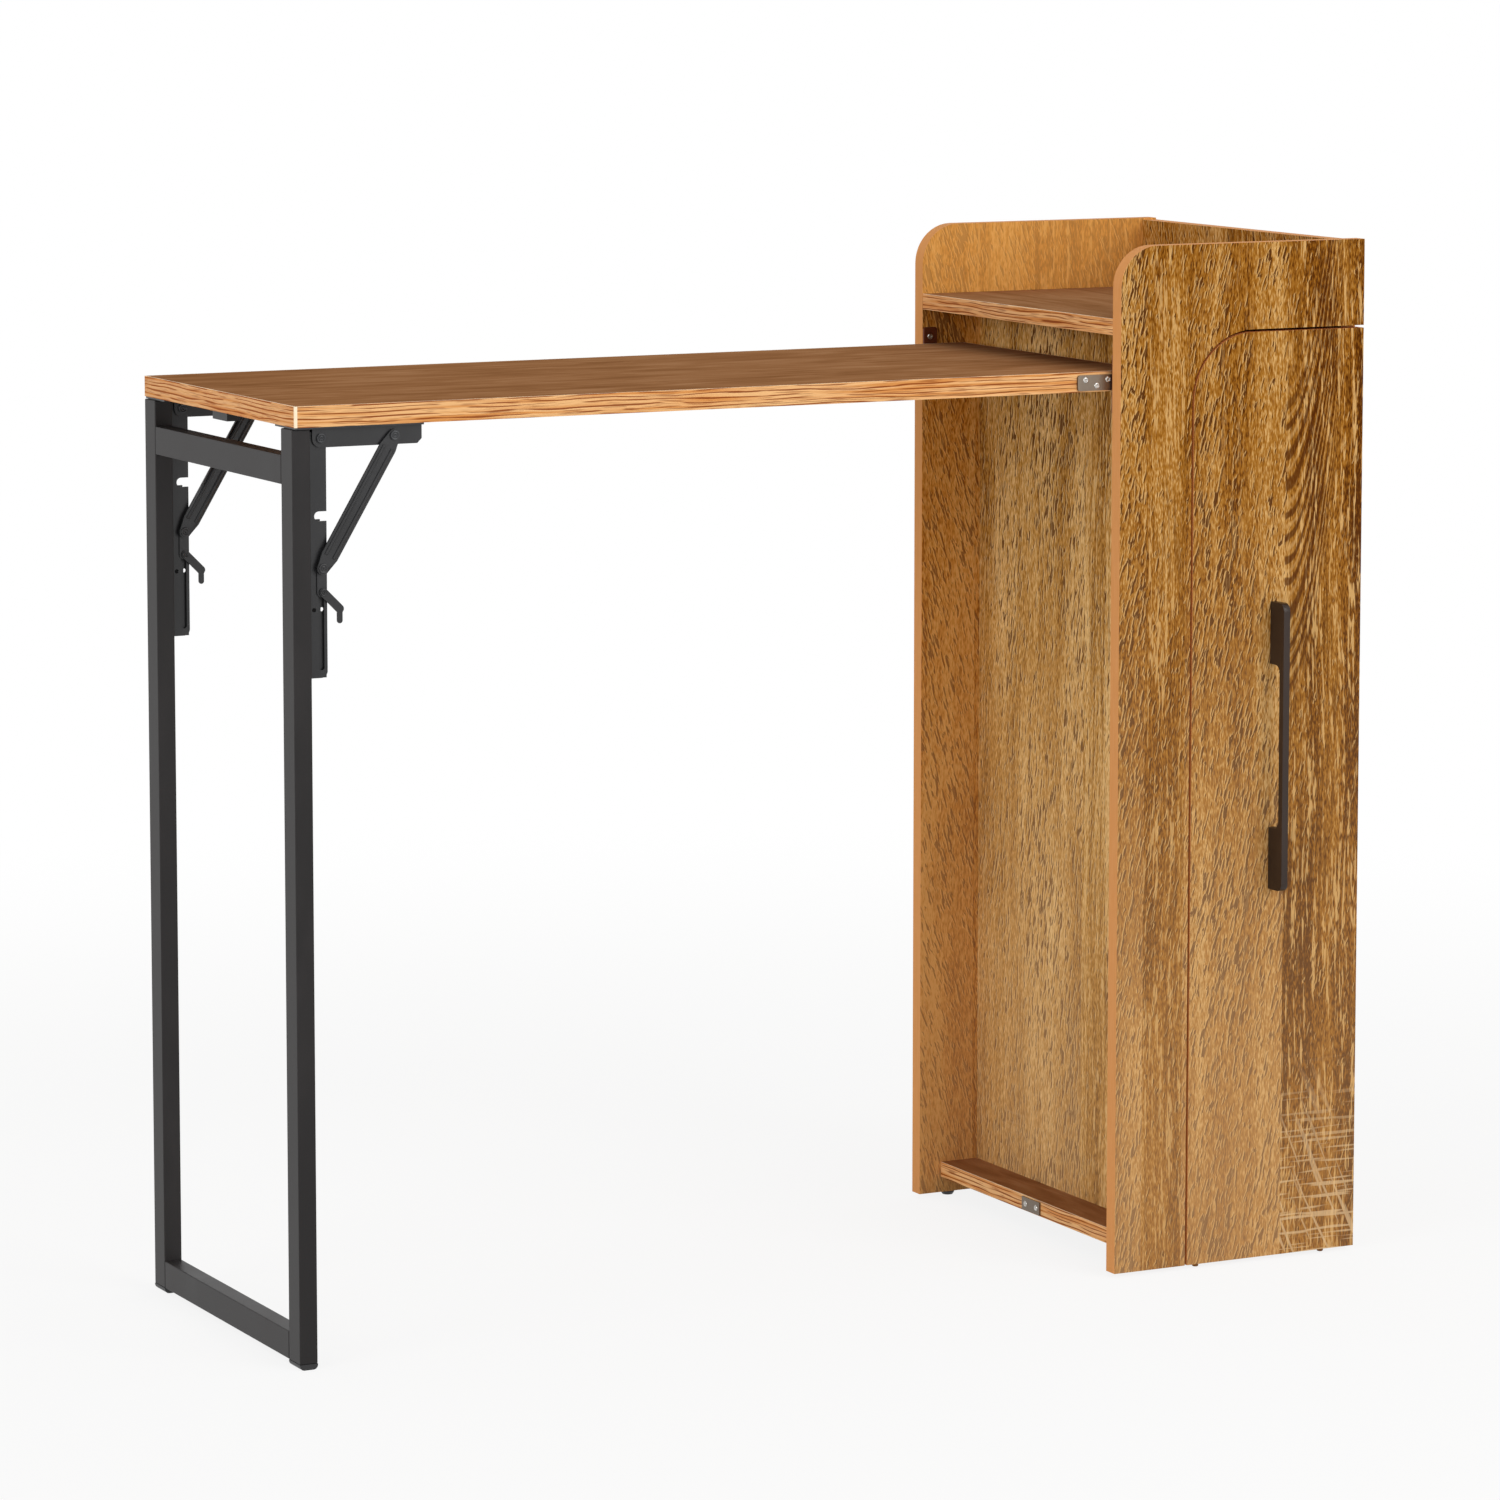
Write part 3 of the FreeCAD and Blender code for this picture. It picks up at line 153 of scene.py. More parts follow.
class Graph:
    """Builds one material's node tree."""

    def __init__(self, name: str) -> None:
        self.material = bpy.data.materials.new(name)
        self.material.use_nodes = True
        self.tree = self.material.node_tree
        self.shader = self.tree.nodes["Principled BSDF"]
        self._place: tuple[Wire, Wire, Wire] | None = None
        self._normal: tuple[Wire, Wire, Wire] | None = None

    def put(self, socket: bpy.types.NodeSocket, value: object) -> None:
        """Link a wire to an input, or set the input's constant.

        Args:
            socket: The input.
            value: A wire, a number or a colour.
        """
        if isinstance(value, Wire):
            self.tree.links.new(value.socket, socket)
        else:
            socket.default_value = value

    def node(self, kind: str, **settings: object) -> bpy.types.Node:
        """Add a node and set its properties.

        Args:
            kind: The node's type name.
            **settings: Property values.

        Returns:
            The new node.
        """
        node = self.tree.nodes.new(kind)
        for key, value in settings.items():
            setattr(node, key, value)
        return node

    def math(self, operation: str, *terms: Term) -> Wire:
        """Combine numbers with a math node.

        Args:
            operation: The node's operation.
            *terms: Wires or numbers.

        Returns:
            The result.
        """
        node = self.node("ShaderNodeMath", operation=operation)
        for socket, term in zip(node.inputs, terms):
            self.put(socket, term)
        return Wire(self, node.outputs[0])

    def _coordinates(self, output: str) -> tuple[Wire, Wire, Wire]:
        source = self.node("ShaderNodeTexCoord")
        split = self.node("ShaderNodeSeparateXYZ")
        self.tree.links.new(source.outputs[output], split.inputs[0])
        return tuple(Wire(self, socket) for socket in split.outputs)

    def place(self) -> tuple[Wire, Wire, Wire]:
        """Give the point's own coordinates in metres.

        Returns:
            X, Y and Z.
        """
        if self._place is None:
            self._place = self._coordinates("Object")
        return self._place

    def normal(self) -> tuple[Wire, Wire, Wire]:
        """Give the surface's direction in the object's own frame.

        Returns:
            X, Y and Z.
        """
        if self._normal is None:
            self._normal = self._coordinates("Normal")
        return self._normal

    def vector(self, x: Term, y: Term, z: Term) -> Wire:
        """Join three numbers.

        Args:
            x: First number.
            y: Second number.
            z: Third number.

        Returns:
            The vector.
        """
        node = self.node("ShaderNodeCombineXYZ")
        for socket, term in zip(node.inputs, (x, y, z)):
            self.put(socket, term)
        return Wire(self, node.outputs[0])

    def noise(self, x: Term, y: Term, z: Term, detail: float = 2.0, rough: float = 0.5,
              bend: float = 0.0) -> Wire:
        """Sample a noise whose grain is one unit wide.

        Args:
            x: First coordinate.
            y: Second coordinate.
            z: Third coordinate.
            detail: Octaves.
            rough: Weight of the finer octaves.
            bend: Distortion.

        Returns:
            A value near 0.5.
        """
        node = self.node("ShaderNodeTexNoise", noise_dimensions="3D")
        self.put(node.inputs["Vector"], self.vector(x, y, z))
        for key, value in (("Scale", 1.0), ("Detail", detail), ("Roughness", rough), ("Distortion", bend)):
            node.inputs[key].default_value = value
        return Wire(self, node.outputs["Fac"])

    def grain(self, grain: Grain, across: Wire, seed: Term, along: Wire) -> Wire:
        """Sample a noise that is drawn out along the wood.

        Args:
            grain: Its fineness.
            across: Place across the wood in metres.
            seed: Which part of the noise is read.
            along: Place along the wood in metres.

        Returns:
            A value near 0.5.
        """
        return self.noise(across * grain.across, seed, along * grain.along, grain.detail, grain.rough,
                          grain.bend)

    def soft(self, value: Term, start: float, end: float) -> Wire:
        """Rise smoothly from 0 to 1 between two values.

        Args:
            value: The value read.
            start: Where the rise starts.
            end: Where it ends.

        Returns:
            The share, 0 to 1.
        """
        node = self.node("ShaderNodeMapRange", interpolation_type="SMOOTHSTEP", clamp=True)
        for key, item in (("Value", value), ("From Min", start), ("From Max", end)):
            self.put(node.inputs[key], item)
        return Wire(self, node.outputs["Result"])

    def ramp(self, share: Wire, stops: Sequence[Stop], steps: bool = False) -> Wire:
        """Read a colour ramp.

        Args:
            share: Position on the ramp.
            stops: Positions and colours, in order.
            steps: Whether colours change at once at each stop.

        Returns:
            The colour.
        """
        node = self.node("ShaderNodeValToRGB")
        node.color_ramp.interpolation = "CONSTANT" if steps else "LINEAR"
        elements = node.color_ramp.elements
        while len(elements) < len(stops):
            elements.new(0.5)
        for element, (position, colour) in zip(elements, stops):
            element.position = position
            element.color = colour
        self.put(node.inputs[0], share)
        return Wire(self, node.outputs[0])

    def mix(self, share: Term, first: object, second: object) -> Wire:
        """Mix two colours.

        Args:
            share: How much of the second.
            first: A colour or wire.
            second: A colour or wire.

        Returns:
            The mixed colour.
        """
        node = self.node("ShaderNodeMix", data_type="RGBA")
        self.put(node.inputs[0], share)
        self.put(node.inputs[6], first)
        self.put(node.inputs[7], second)
        return Wire(self, node.outputs[2])

    def finish(self, colour: object, rough: Term, height: Wire | None = None, relief: float = 0.0002,
               strength: float = 0.5, **sockets: float) -> bpy.types.Material:
        """Connect the surface.

        Args:
            colour: Base colour.
            rough: Roughness.
            height: Relief, 0 to 1.
            relief: Depth of the relief in metres.
            strength: Weight of the relief.
            **sockets: Constants of the shader's other inputs, with _ for a space.

        Returns:
            The material.
        """
        self.put(self.shader.inputs["Base Color"], colour)
        self.put(self.shader.inputs["Roughness"], rough)
        for key, value in sockets.items():
            self.shader.inputs[key.replace("_", " ")].default_value = value
        if height is not None:
            bump = self.node("ShaderNodeBump")
            bump.inputs["Strength"].default_value = strength
            bump.inputs["Distance"].default_value = relief
            self.put(bump.inputs["Height"], height)
            self.tree.links.new(bump.outputs[0], self.shader.inputs["Normal"])
        return self.material


BEND = Grain(5.0, 3.0, 1.0)
CLOUD = Grain(30.0, 2.6, 2.0, 0.5, 0.3)
SAND = Grain(720.0, 150.0, 1.0)
FLECK = Grain(360.0, 62.0, 2.0, 0.5, 0.4)
CROWD = Grain(16.0, 5.0, 1.0)
STREAK = Grain(230.0, 9.0, 2.0, 0.6)
BREAK = Grain(400.0, 60.0, 1.0)
SAW_PATCH = Grain(9.0, 6.0, 1.0)
SAW_LEVEL = Grain(12.0, 260.0, 1.0)
SAW_SLOPE = Grain(150.0, 7.0, 1.0)
# Shift of the second fleck sample, which places the painted highlight beside each dark fleck.
LIT_SHIFT = 0.0014
SEED_SPREAD = 40.0
RAMP_SHIFT = 0.3
SHELF_TOP = (1.05, 1.06)


@dataclass(frozen=True)
class Plank:
    """One plank of the laminate's print, from where it starts to where the next one does."""

    start: float
    tone: float
    lines: float
    seed: float


@dataclass(frozen=True)
class OakFinish:
    """Rough-sawn oak laminate with upright grain, and a plain band on the board's edges."""

    name: str
    face: Face
    planks: Sequence[Plank]
    dark: Colour = tint(80, 38, 0)
    brown: Colour = tint(138, 84, 18)
    gold: Colour = tint(166, 112, 40)
    cream: Colour = tint(212, 168, 106)
    edge: Colour = tint(210, 142, 80)
    arris: Colour = tint(236, 184, 132)
    # Painted light: the tint the oak turns towards the bottom, which leaves the upper part darker like the
    # shade under the table top.
    painted_lower_light: Colour = tint(218, 174, 126)
    # Painted light: the tint of the lit far wall above the shelf, set against the shade below it.
    painted_shelf_light: Colour = tint(240, 176, 96)
    sawn: Colour = tint(226, 196, 152)
    ring: Colour = tint(78, 34, 0)
    lean: float = -0.22
    flecks: float = 0.95
    # Share of painted light above the shelf.
    upper: float = 0.0
    heart: float | None = None

    def build(self) -> bpy.types.Material:
        """Make the material.

        Returns:
            The material.
        """
        g = Graph(self.name)
        x, y, z = g.place()
        across = x + y
        tone, seed, lines = self._planks(g, across)
        seed = seed * SEED_SPREAD
        run = across + (g.grain(BEND, across, seed, z) - 0.5) * 0.03
        broad = g.grain(CLOUD, run, seed, z)
        sand = g.grain(SAND, run, seed, z)
        slant = run + z * self.lean
        # The second sample, shifted across the grain, paints a highlight beside each dark fleck, as if a side
        # lamp lit its raised edge.
        fleck, lit = (g.grain(FLECK, slant + shift, seed + 3.0, z) for shift in (0.0, LIT_SHIFT))
        share = broad * 0.6 + sand * 0.7 - 0.15 + (tone - 0.5) * 0.5
        colour = g.ramp(share, [(0.28, self.dark), (0.40, self.brown), (0.53, self.gold), (0.70, self.cream)])
        crowd = g.grain(CROWD, run, seed + 6.0, z) * 0.22 - lines * 0.11
        pale = g.soft(lit + crowd, 0.62, 0.70)
        pore = g.soft(fleck + crowd, 0.64, 0.70)
        # Painted highlight: pale cream beside each fleck.
        colour = g.mix(pale * 0.75, colour, self.cream)
        colour = g.mix(pore * self.flecks, colour, self.dark)
        streak = g.grain(STREAK, run, seed + 9.0, z)
        gap = g.soft(g.grain(BREAK, run, seed, z), 0.42, 0.55)
        colour = g.mix(g.soft(streak, 0.53, 0.60) * gap * lines * 0.9, colour, self.cream)
        colour = g.mix((1.0 - g.soft(streak, 0.38, 0.45)) * lines * 0.5, colour, self.dark)
        colour = self._saw_marks(g, colour, run, z, seed, lines)
        if self.heart is not None:
            colour = self._heart(g, colour, across, z)
        # Painted light: paler towards the bottom, less on the lined planks, standing in for the shade that
        # darkens the upper part of the recess.
        painted_lower_light_share = (1.0 - g.soft(z, 0.0, 1.0)) * (1.0 - lines * 0.6)
        colour = g.mix(painted_lower_light_share * 0.40, colour, self.painted_lower_light)
        # Painted light: the wall above the shelf turns to the lit tint and leaves the part below it in shade.
        if self.upper:
            colour = g.mix(g.soft(z, *SHELF_TOP) * self.upper, colour, self.painted_shelf_light)
        face = g.soft(self._facing(g), 0.6, 0.75)
        band = g.mix(g.noise(x * 300.0, y * 300.0, z * 30.0) * 0.3, self.edge, self.arris)
        colour = g.mix(face, band, colour)
        height = (pale - pore + sand * 0.6) * face
        return g.finish(colour, 0.66 - sand * 0.2, height, 0.0003, 0.5, Specular_IOR_Level=0.03)

    def _facing(self, g: Graph) -> Wire:
        index = {Face.FRONT: 0, Face.SIDE: 1}[self.face]
        return g.math("ABSOLUTE", g.normal()[index])

    def _planks(self, g: Graph, across: Wire) -> tuple[Wire, Wire, Wire]:
        stops = [(plank.start + RAMP_SHIFT, (plank.tone, plank.seed, plank.lines, 1.0))
                 for plank in self.planks]
        split = g.node("ShaderNodeSeparateColor")
        g.put(split.inputs[0], g.ramp(across + RAMP_SHIFT, stops, steps=True))
        return tuple(Wire(g, socket) for socket in split.outputs)

    def _saw_marks(self, g: Graph, colour: Wire, run: Wire, z: Wire, seed: Wire, lines: Wire) -> Wire:
        patch = g.soft(g.grain(SAW_PATCH, run, seed + 8.0, z) + lines * 0.05, 0.68, 0.84) * 0.3
        if self.heart is not None:
            patch = g.math("MAXIMUM", patch, (1.0 - g.soft(z, 0.05, 0.26)) * g.soft(lines, 0.8, 0.9))
        level = g.grain(SAW_LEVEL, run, seed, z)
        slope = g.grain(SAW_SLOPE, run + z * 0.45, seed + 2.0, z - run * 0.45)
        mark = g.math("MAXIMUM", g.soft(level, 0.57, 0.66), g.soft(slope, 0.61, 0.67) * lines)
        return g.mix(patch * mark * 0.6, colour, self.sawn)

    def _heart(self, g: Graph, colour: Wire, across: Wire, z: Wire) -> Wire:
        wobble = g.noise(across * 26.0, 2.0, z * 11.0, 2.0) - 0.5
        offset = across - self.heart + wobble * 0.012
        level = z - offset * offset * 62.0 + wobble * 0.03
        width = g.noise(across * 60.0, 5.0, z * 16.0, 1.0) * 0.8 - 0.25
        ring = g.math("SINE", level * 210.0 + g.noise(level * 9.0, 1.0, 1.0, 1.0) * 14.0) + width
        inside = g.soft(across - self.heart, -0.0004, 0.0004) * (1.0 - g.soft(offset, 0.05, 0.085))
        zone = g.soft(level, 0.60, 0.66) * (1.0 - g.soft(level, 0.93, 1.02)) * inside
        colour = g.mix(g.soft(ring, 0.35, 0.95) * zone * 0.8, colour, self.ring)
        return g.mix(g.soft(ring * -1.0, 0.45, 1.0) * zone * 0.45, colour, self.cream)


@dataclass(frozen=True)
class BoardFinish:
    """Plain matte brown foil with a faint vein."""

    name: str
    base: Colour = tint(156, 109, 71)
    deep: Colour = tint(138, 93, 57)
    pale: Colour = tint(174, 128, 90)
    along: Face = Face.FRONT

    def build(self) -> bpy.types.Material:
        """Make the material.

        Returns:
            The material.
        """
        g = Graph(self.name)
        x, y, z = g.place()
        run, side = (x, y) if self.along is Face.FRONT else (y, x)
        vein = g.noise(run * 8.0, side * 50.0, z * 50.0, 4.0, 0.6, 0.8)
        mottle = g.noise(run * 6.0, side * 8.0, z * 8.0, 2.0)
        pore = g.noise(run * 160.0, side * 900.0, z * 900.0, 1.0)
        colour = g.ramp(vein * 0.7 + mottle * 0.3, [(0.36, self.deep), (0.5, self.base), (0.66, self.pale)])
        colour = g.mix(g.soft(pore, 0.58, 0.72) * 0.35, colour, self.deep)
        return g.finish(colour, 0.5 + vein * 0.15, pore, 0.00008, 0.35, Specular_IOR_Level=0.0)


@dataclass(frozen=True)
class BandFinish:
    """Striped edge band: light orange wood with red-brown lines along it, with painted shade on the table's
    left end and a painted highlight on its arrises.
    """

    name: str
    base: Colour = tint(212, 142, 76)
    pale: Colour = tint(234, 182, 124)
    line: Colour = tint(134, 60, 10)
    arris: Colour = tint(252, 232, 202)
    shade: Colour = tint(160, 82, 14)
    spacing: float = 0.0042
    # The table's near-left corner, where the painted shade and highlight are placed.
    corner: tuple[float, float] = (-0.63165, -0.195)

    def build(self) -> bpy.types.Material:
        """Make the material.

        Returns:
            The material.
        """
        g = Graph(self.name)
        x, y, z = g.place()
        run = x + y
        level = z + (g.noise(run * 7.0, 4.0, z * 60.0, 2.0) - 0.5) * 0.009
        broad = g.noise(run * 5.0, 1.0, level * 260.0, 1.0)
        sway = g.noise(run * 12.0, 7.0, z * 90.0, 1.0) * 5.0
        thin = g.math("SINE", level * (2.0 * math.pi / self.spacing) + sway)
        gap = g.noise(run * 16.0, 5.0, level * 240.0, 1.0)
        hair = g.noise(run * 26.0, 3.0, level * 900.0, 1.0)
        colour = g.ramp(broad, [(0.38, self.base), (0.56, self.pale)])
        colour = g.mix(g.soft(thin, 0.45, 0.80) * g.soft(gap, 0.40, 0.50) * 0.9, colour, self.line)
        colour = g.mix(g.soft(hair, 0.56, 0.64) * 0.55, colour, self.line)
        edge_x, edge_y = self.corner
        # Painted shade: the end face left of the table's corner is darkened towards the shade colour.
        end = 1.0 - g.soft(x - edge_x, 0.0024, 0.0032)
        corner = end * (1.0 - g.soft(y - edge_y, 0.0024, 0.0032))
        colour = g.mix(end * 0.25, colour, self.shade)
        # Painted highlight: the arris colour on the line at the table's near-left corner and on the
        # upward-facing rounding of the band's top edge.
        top = g.soft(g.normal()[2], 0.3, 0.6)
        colour = g.mix(g.math("MAXIMUM", corner, top * 0.7), colour, self.arris)
        return g.finish(colour, 0.5 + thin * 0.15, broad - thin, 0.0001, 0.4, Specular_IOR_Level=0.1)


@dataclass(frozen=True)
class CoatFinish:
    """Coated metal or moulded plastic: one tone with fine speckle and faint wear."""

    name: str
    base: Colour
    worn: Colour
    rough: float = 0.45
    grain: float = 1400.0
    relief: float = 0.00006
    metallic: float = 0.0
    specular: float = 0.5

    def build(self) -> bpy.types.Material:
        """Make the material.

        Returns:
            The material.
        """
        g = Graph(self.name)
        x, y, z = g.place()
        speckle = g.noise(x * self.grain, y * self.grain, z * self.grain, 1.0)
        cloud = g.noise(x * 14.0, y * 14.0, z * 5.0, 3.0, 0.6)
        colour = g.mix(g.soft(cloud, 0.38, 0.68) * 0.55 + speckle * 0.2, self.base, self.worn)
        rough = self.rough - 0.08 + cloud * 0.16
        return g.finish(colour, rough, speckle, self.relief, 0.4, Metallic=self.metallic,
                        Specular_IOR_Level=self.specular)


@dataclass(frozen=True)
class HeadShape:
    """Form of a fastener's round end: rings from the rim inwards and a cross-shaped recess.

    Each ring is a share of the end's radius with a height above its flat face in metres.
    """

    rings: Sequence[tuple[float, float]]
    arm: float = 0.0
    half: float = 0.0
    depth: float = 0.0
    least: float = 0.9

    def circles(self, angles: Sequence[float]) -> list[list[tuple[float, float]]]:
        """Give every ring as one share of the radius and one height per spoke.

        Args:
            angles: The spokes' angles from the cross's first arm.

        Returns:
            The rings, from the rim inwards.
        """
        rings = [[(share, height)] * len(angles) for share, height in self.rings]
        if self.arm:
            top = self.rings[-1][1]
            outline = [self._cross(angle) for angle in angles]
            rings.append([(share, top) for share in outline])
            rings.append([(share * CROSS_TAPER, top - self.depth) for share in outline])
        return rings

    def _cross(self, angle: float) -> float:
        """Give the cross's reach at an angle, as a share of the end's radius."""
        parts = sorted((abs(math.cos(angle)), abs(math.sin(angle)), 1e-6))
        return min(self.arm / parts[2], self.half / parts[1])


SCREW = HeadShape(((0.94, 0.0003), (0.80, 0.0006), (0.66, 0.0007)), 0.60, 0.15, 0.0012)
DOME = HeadShape(((0.95, 0.0003), (0.80, 0.0007), (0.55, 0.0010), (0.25, 0.0012)), least=0.5)
RIVET = HeadShape(((0.95, 0.0002), (0.84, 0.0003), (0.64, 0.0002), (0.58, -0.0003), (0.50, -0.0003),
                   (0.44, 0.0002), (0.24, 0.0002), (0.16, -0.0006)), least=0.65)


class Palette:
    """Builds each finish once and hands out its material."""

    def __init__(self) -> None:
        self._made: dict[str, bpy.types.Material] = {}

    def get(self, finish: "Finish") -> bpy.types.Material:
        """Give a finish's material.

        Args:
            finish: The finish.

        Returns:
            Its material, built at the first call.
        """
        if finish.name not in self._made:
            self._made[finish.name] = finish.build()
        return self._made[finish.name]


Finish = Union[OakFinish, BoardFinish, BandFinish, CoatFinish]

NEAR_FACE = -0.219
NEAR_OAK = OakFinish("near_oak", Face.SIDE, (
    Plank(NEAR_FACE + 0.30, 0.50, 0.10, 0.13),
    Plank(NEAR_FACE + 0.354, 0.42, 0.75, 0.57),
    Plank(NEAR_FACE + 0.404, 0.50, 0.20, 0.29),
    Plank(NEAR_FACE + 0.534, 0.30, 0.95, 0.83),
), heart=NEAR_FACE + 0.534)
# The far wall's colours are a brighter, more saturated copy of the oak. This is painted light that makes up
# for the shade and warm bounce in the recess.
FAR_OAK = OakFinish("far_oak", Face.SIDE, (
    Plank(0.50, 0.66, 0.15, 0.41),
    Plank(0.62, 0.46, 0.60, 0.71),
    Plank(0.69, 0.52, 0.20, 0.23),
    Plank(0.77, 0.40, 0.80, 0.91),
), dark=tint(112, 58, 4), brown=tint(168, 100, 20), gold=tint(206, 140, 56), cream=tint(230, 174, 98),
    lean=0.28, flecks=0.75, upper=0.45)
# The partition's colours are a brighter copy of the oak. This is painted light that makes up for the table
# top's shade on it.
PARTITION_OAK = OakFinish("partition_oak", Face.FRONT, (
    Plank(0.10, 0.46, 0.70, 0.37),
    Plank(0.245, 0.50, 0.75, 0.67),
    Plank(0.385, 0.52, 0.15, 0.19),
    Plank(0.56, 0.48, 0.40, 0.77),
), dark=tint(92, 50, 4), brown=tint(164, 112, 40), gold=tint(196, 144, 72), cream=tint(236, 196, 134),
    lean=0.15)
BACK_OAK = OakFinish("back_oak", Face.FRONT, (
    Plank(0.20, 0.40, 0.85, 0.31),
    Plank(0.48, 0.50, 0.30, 0.61),
    Plank(0.60, 0.46, 0.70, 0.11),
    Plank(0.72, 0.54, 0.15, 0.87),
))
INNER_OAK = OakFinish("inner_oak", Face.SIDE, (Plank(0.30, 0.48, 0.30, 0.53), Plank(0.66, 0.52, 0.60, 0.17)))
TOP_BOARD = BoardFinish("top_board")
CROSS_BOARD = BoardFinish("cross_board", along=Face.SIDE)
STRIPES = BandFinish("striped_edge")
DOWEL = BoardFinish("dowel", tint(206, 164, 112), tint(178, 134, 84), tint(226, 190, 142), Face.SIDE)
TUBE = CoatFinish("charcoal_coat", tint(34, 32, 32), tint(46, 43, 43), 0.42, specular=0.2)
BRACKET = CoatFinish("black_coat", tint(28, 28, 29), tint(42, 42, 44), 0.32, 700.0, specular=0.4)
PLASTIC = CoatFinish("black_plastic_shell", tint(22, 22, 23), tint(38, 38, 39), 0.5, 900.0)
HANDLE = CoatFinish("handle_coat", tint(40, 29, 22), tint(54, 40, 32), 0.38, 800.0, specular=0.3)
STEEL = CoatFinish("bright_plate", tint(176, 172, 166), tint(206, 203, 198), 0.28, 900.0, 0.00003, 1.0)
DULL_STEEL = CoatFinish("dull_plate", tint(112, 100, 88), tint(140, 128, 114), 0.38, 500.0, 0.00004, 1.0)
RED_STEEL = CoatFinish("bronze_plate", tint(98, 48, 28), tint(124, 66, 42), 0.4, 500.0, 0.00004, 0.5)
BUTTON = CoatFinish("brown_button", tint(128, 82, 34), tint(150, 102, 50), 0.5, 700.0, specular=0.2)
# Rivet finish: glossier metal than the bracket paint, with a lighter grey that is painted sheen for the
# reflections on the rivets.
RIVET_COAT_AND_SHEEN = CoatFinish("rivet_coat_and_sheen", tint(40, 41, 43), tint(64, 65, 67), 0.32, 900.0, metallic=0.4)
TYRE = CoatFinish("tyre_rubber", tint(40, 40, 41), tint(60, 60, 60), 0.6, 600.0)


@dataclass
class Assembly:
    """One sub-assembly of the frame, with the ways to give its nodes their finish and detail."""

    frame: dict
    palette: Palette

    def coat(self, names: Iterable[str], finish: Finish) -> None:
        """Give CAD nodes a material.

        Args:
            names: The nodes.
            finish: The finish.
        """
        material = self.palette.get(finish)
        for name in names:
            for slot in self.frame["nodes"][name].material_slots:
                slot.material = material

    def ease(self, names: Iterable[str], width: float) -> None:
        """Round the sharp edges of CAD nodes with modifiers.

        Args:
            names: The nodes.
            width: Width of the rounding in metres.
        """
        for name in names:
            node = self.frame["nodes"][name]
            weld = node.modifiers.new("weld", "WELD")
            weld.merge_threshold = WELD_GAP
            bevel = node.modifiers.new("ease", "BEVEL")
            bevel.width = width
            bevel.segments = 2
            bevel.limit_method = "ANGLE"
            bevel.angle_limit = EASE_ANGLE
            bevel.harden_normals = True

    def shape_ends(self, node: str, body: str, slot: Slot, finish: Finish, shape: HeadShape) -> None:
        """Stand in for a node of fasteners with a copy whose round ends are shaped.

        Args:
            node: The node.
            body: The body that it moves with.
            slot: Its material slot; not used.
            finish: Its finish.
            shape: The form of its ends.
        """
        work = bmesh.new()
        work.from_mesh(self.frame["nodes"][node].data)
        bmesh.ops.remove_doubles(work, verts=work.verts, dist=MERGE_GAP)
        bmesh.ops.dissolve_limit(work, angle_limit=FLAT_ANGLE, verts=work.verts, edges=work.edges)
        work.normal_update()
        radii = {face: radius for face in work.faces if (radius := self._round_radius(face))}
        largest = max(radii.values())
        ends = [face for face, radius in radii.items() if radius > shape.least * largest]
        for index, face in enumerate(ends):
            self._shape_end(work, face, shape, index * CROSS_TURN)
        mesh = bpy.data.meshes.new(f"{node}_detailed")
        work.to_mesh(mesh)
        work.free()
        mesh.shade_smooth()
        mesh.set_sharp_from_angle(angle=SHARP_ANGLE)
        mesh.materials.append(self.palette.get(finish))
        piece = bpy.data.objects.new(mesh.name, mesh)
        bpy.context.scene.collection.objects.link(piece)
        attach(piece, body)
        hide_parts(node)
        LOG.info("%s: %d ends shaped", mesh.name, len(ends))

    def _round_radius(self, face: bmesh.types.BMFace) -> float:
        """Give a round face's radius, or 0 for any other face."""
        if len(face.verts) < ROUND_SIDES:
            return 0.0
        centre = face.calc_center_median()
        reach = [(vert.co - centre).length for vert in face.verts]
        return max(reach) if min(reach) > ROUNDNESS * max(reach) else 0.0

    def _shape_end(self, work: bmesh.types.BMesh, face: bmesh.types.BMFace, shape: HeadShape,
                   turn: float) -> None:
        """Swap a round face for rings that follow its rim."""
        centre = face.calc_center_median()
        normal = face.normal.copy()
        rim = list(face.verts)
        spokes = [vert.co - centre for vert in rim]
        side = normal.cross(spokes[0])
        angles = [math.atan2(spoke.dot(side), spoke.dot(spokes[0])) + turn for spoke in spokes]
        work.faces.remove(face)
        for circle in shape.circles(angles):
            ring = [work.verts.new(centre + spoke * share + normal * height)
                    for spoke, (share, height) in zip(spokes, circle)]
            for index in range(len(rim)):
                work.faces.new((rim[index - 1], rim[index], ring[index], ring[index - 1]))
            rim = ring
        work.faces.new(rim)


@dataclass
class Cabinet(Assembly):
    """Side panels, partition, back, shelf and rail with their bands and fittings."""

    band_ease: float = 0.0006

    def dress(self) -> None:
        """Give every node of the cabinet its finish."""
        self.coat(["near_side_panel"], NEAR_OAK)
        self.coat(["far_side_panel"], FAR_OAK)
        self.coat(["partition_panel"], PARTITION_OAK)
        self.coat(["back_panel"], BACK_OAK)
        self.coat(["top_shelf", "bottom_rail"], CROSS_BOARD)
        self.coat(["shelf_edge_band", "rail_edge_band"], STRIPES)
        self.coat(["panel_dowels"], DOWEL)
        self.coat(["cabinet_glides"], PLASTIC)
        self.coat(["catch_plate"], DULL_STEEL)
        self.coat(["hinge_wall_plates"], RED_STEEL)
        self.ease(["shelf_edge_band", "rail_edge_band"], self.band_ease)
        self.coat(["hinge_pins"], STEEL)
        for node in ("catch_plate_screws", "hinge_wall_screws"):
            self.shape_ends(node, "cabinet", Slot.STEEL, STEEL, SCREW)


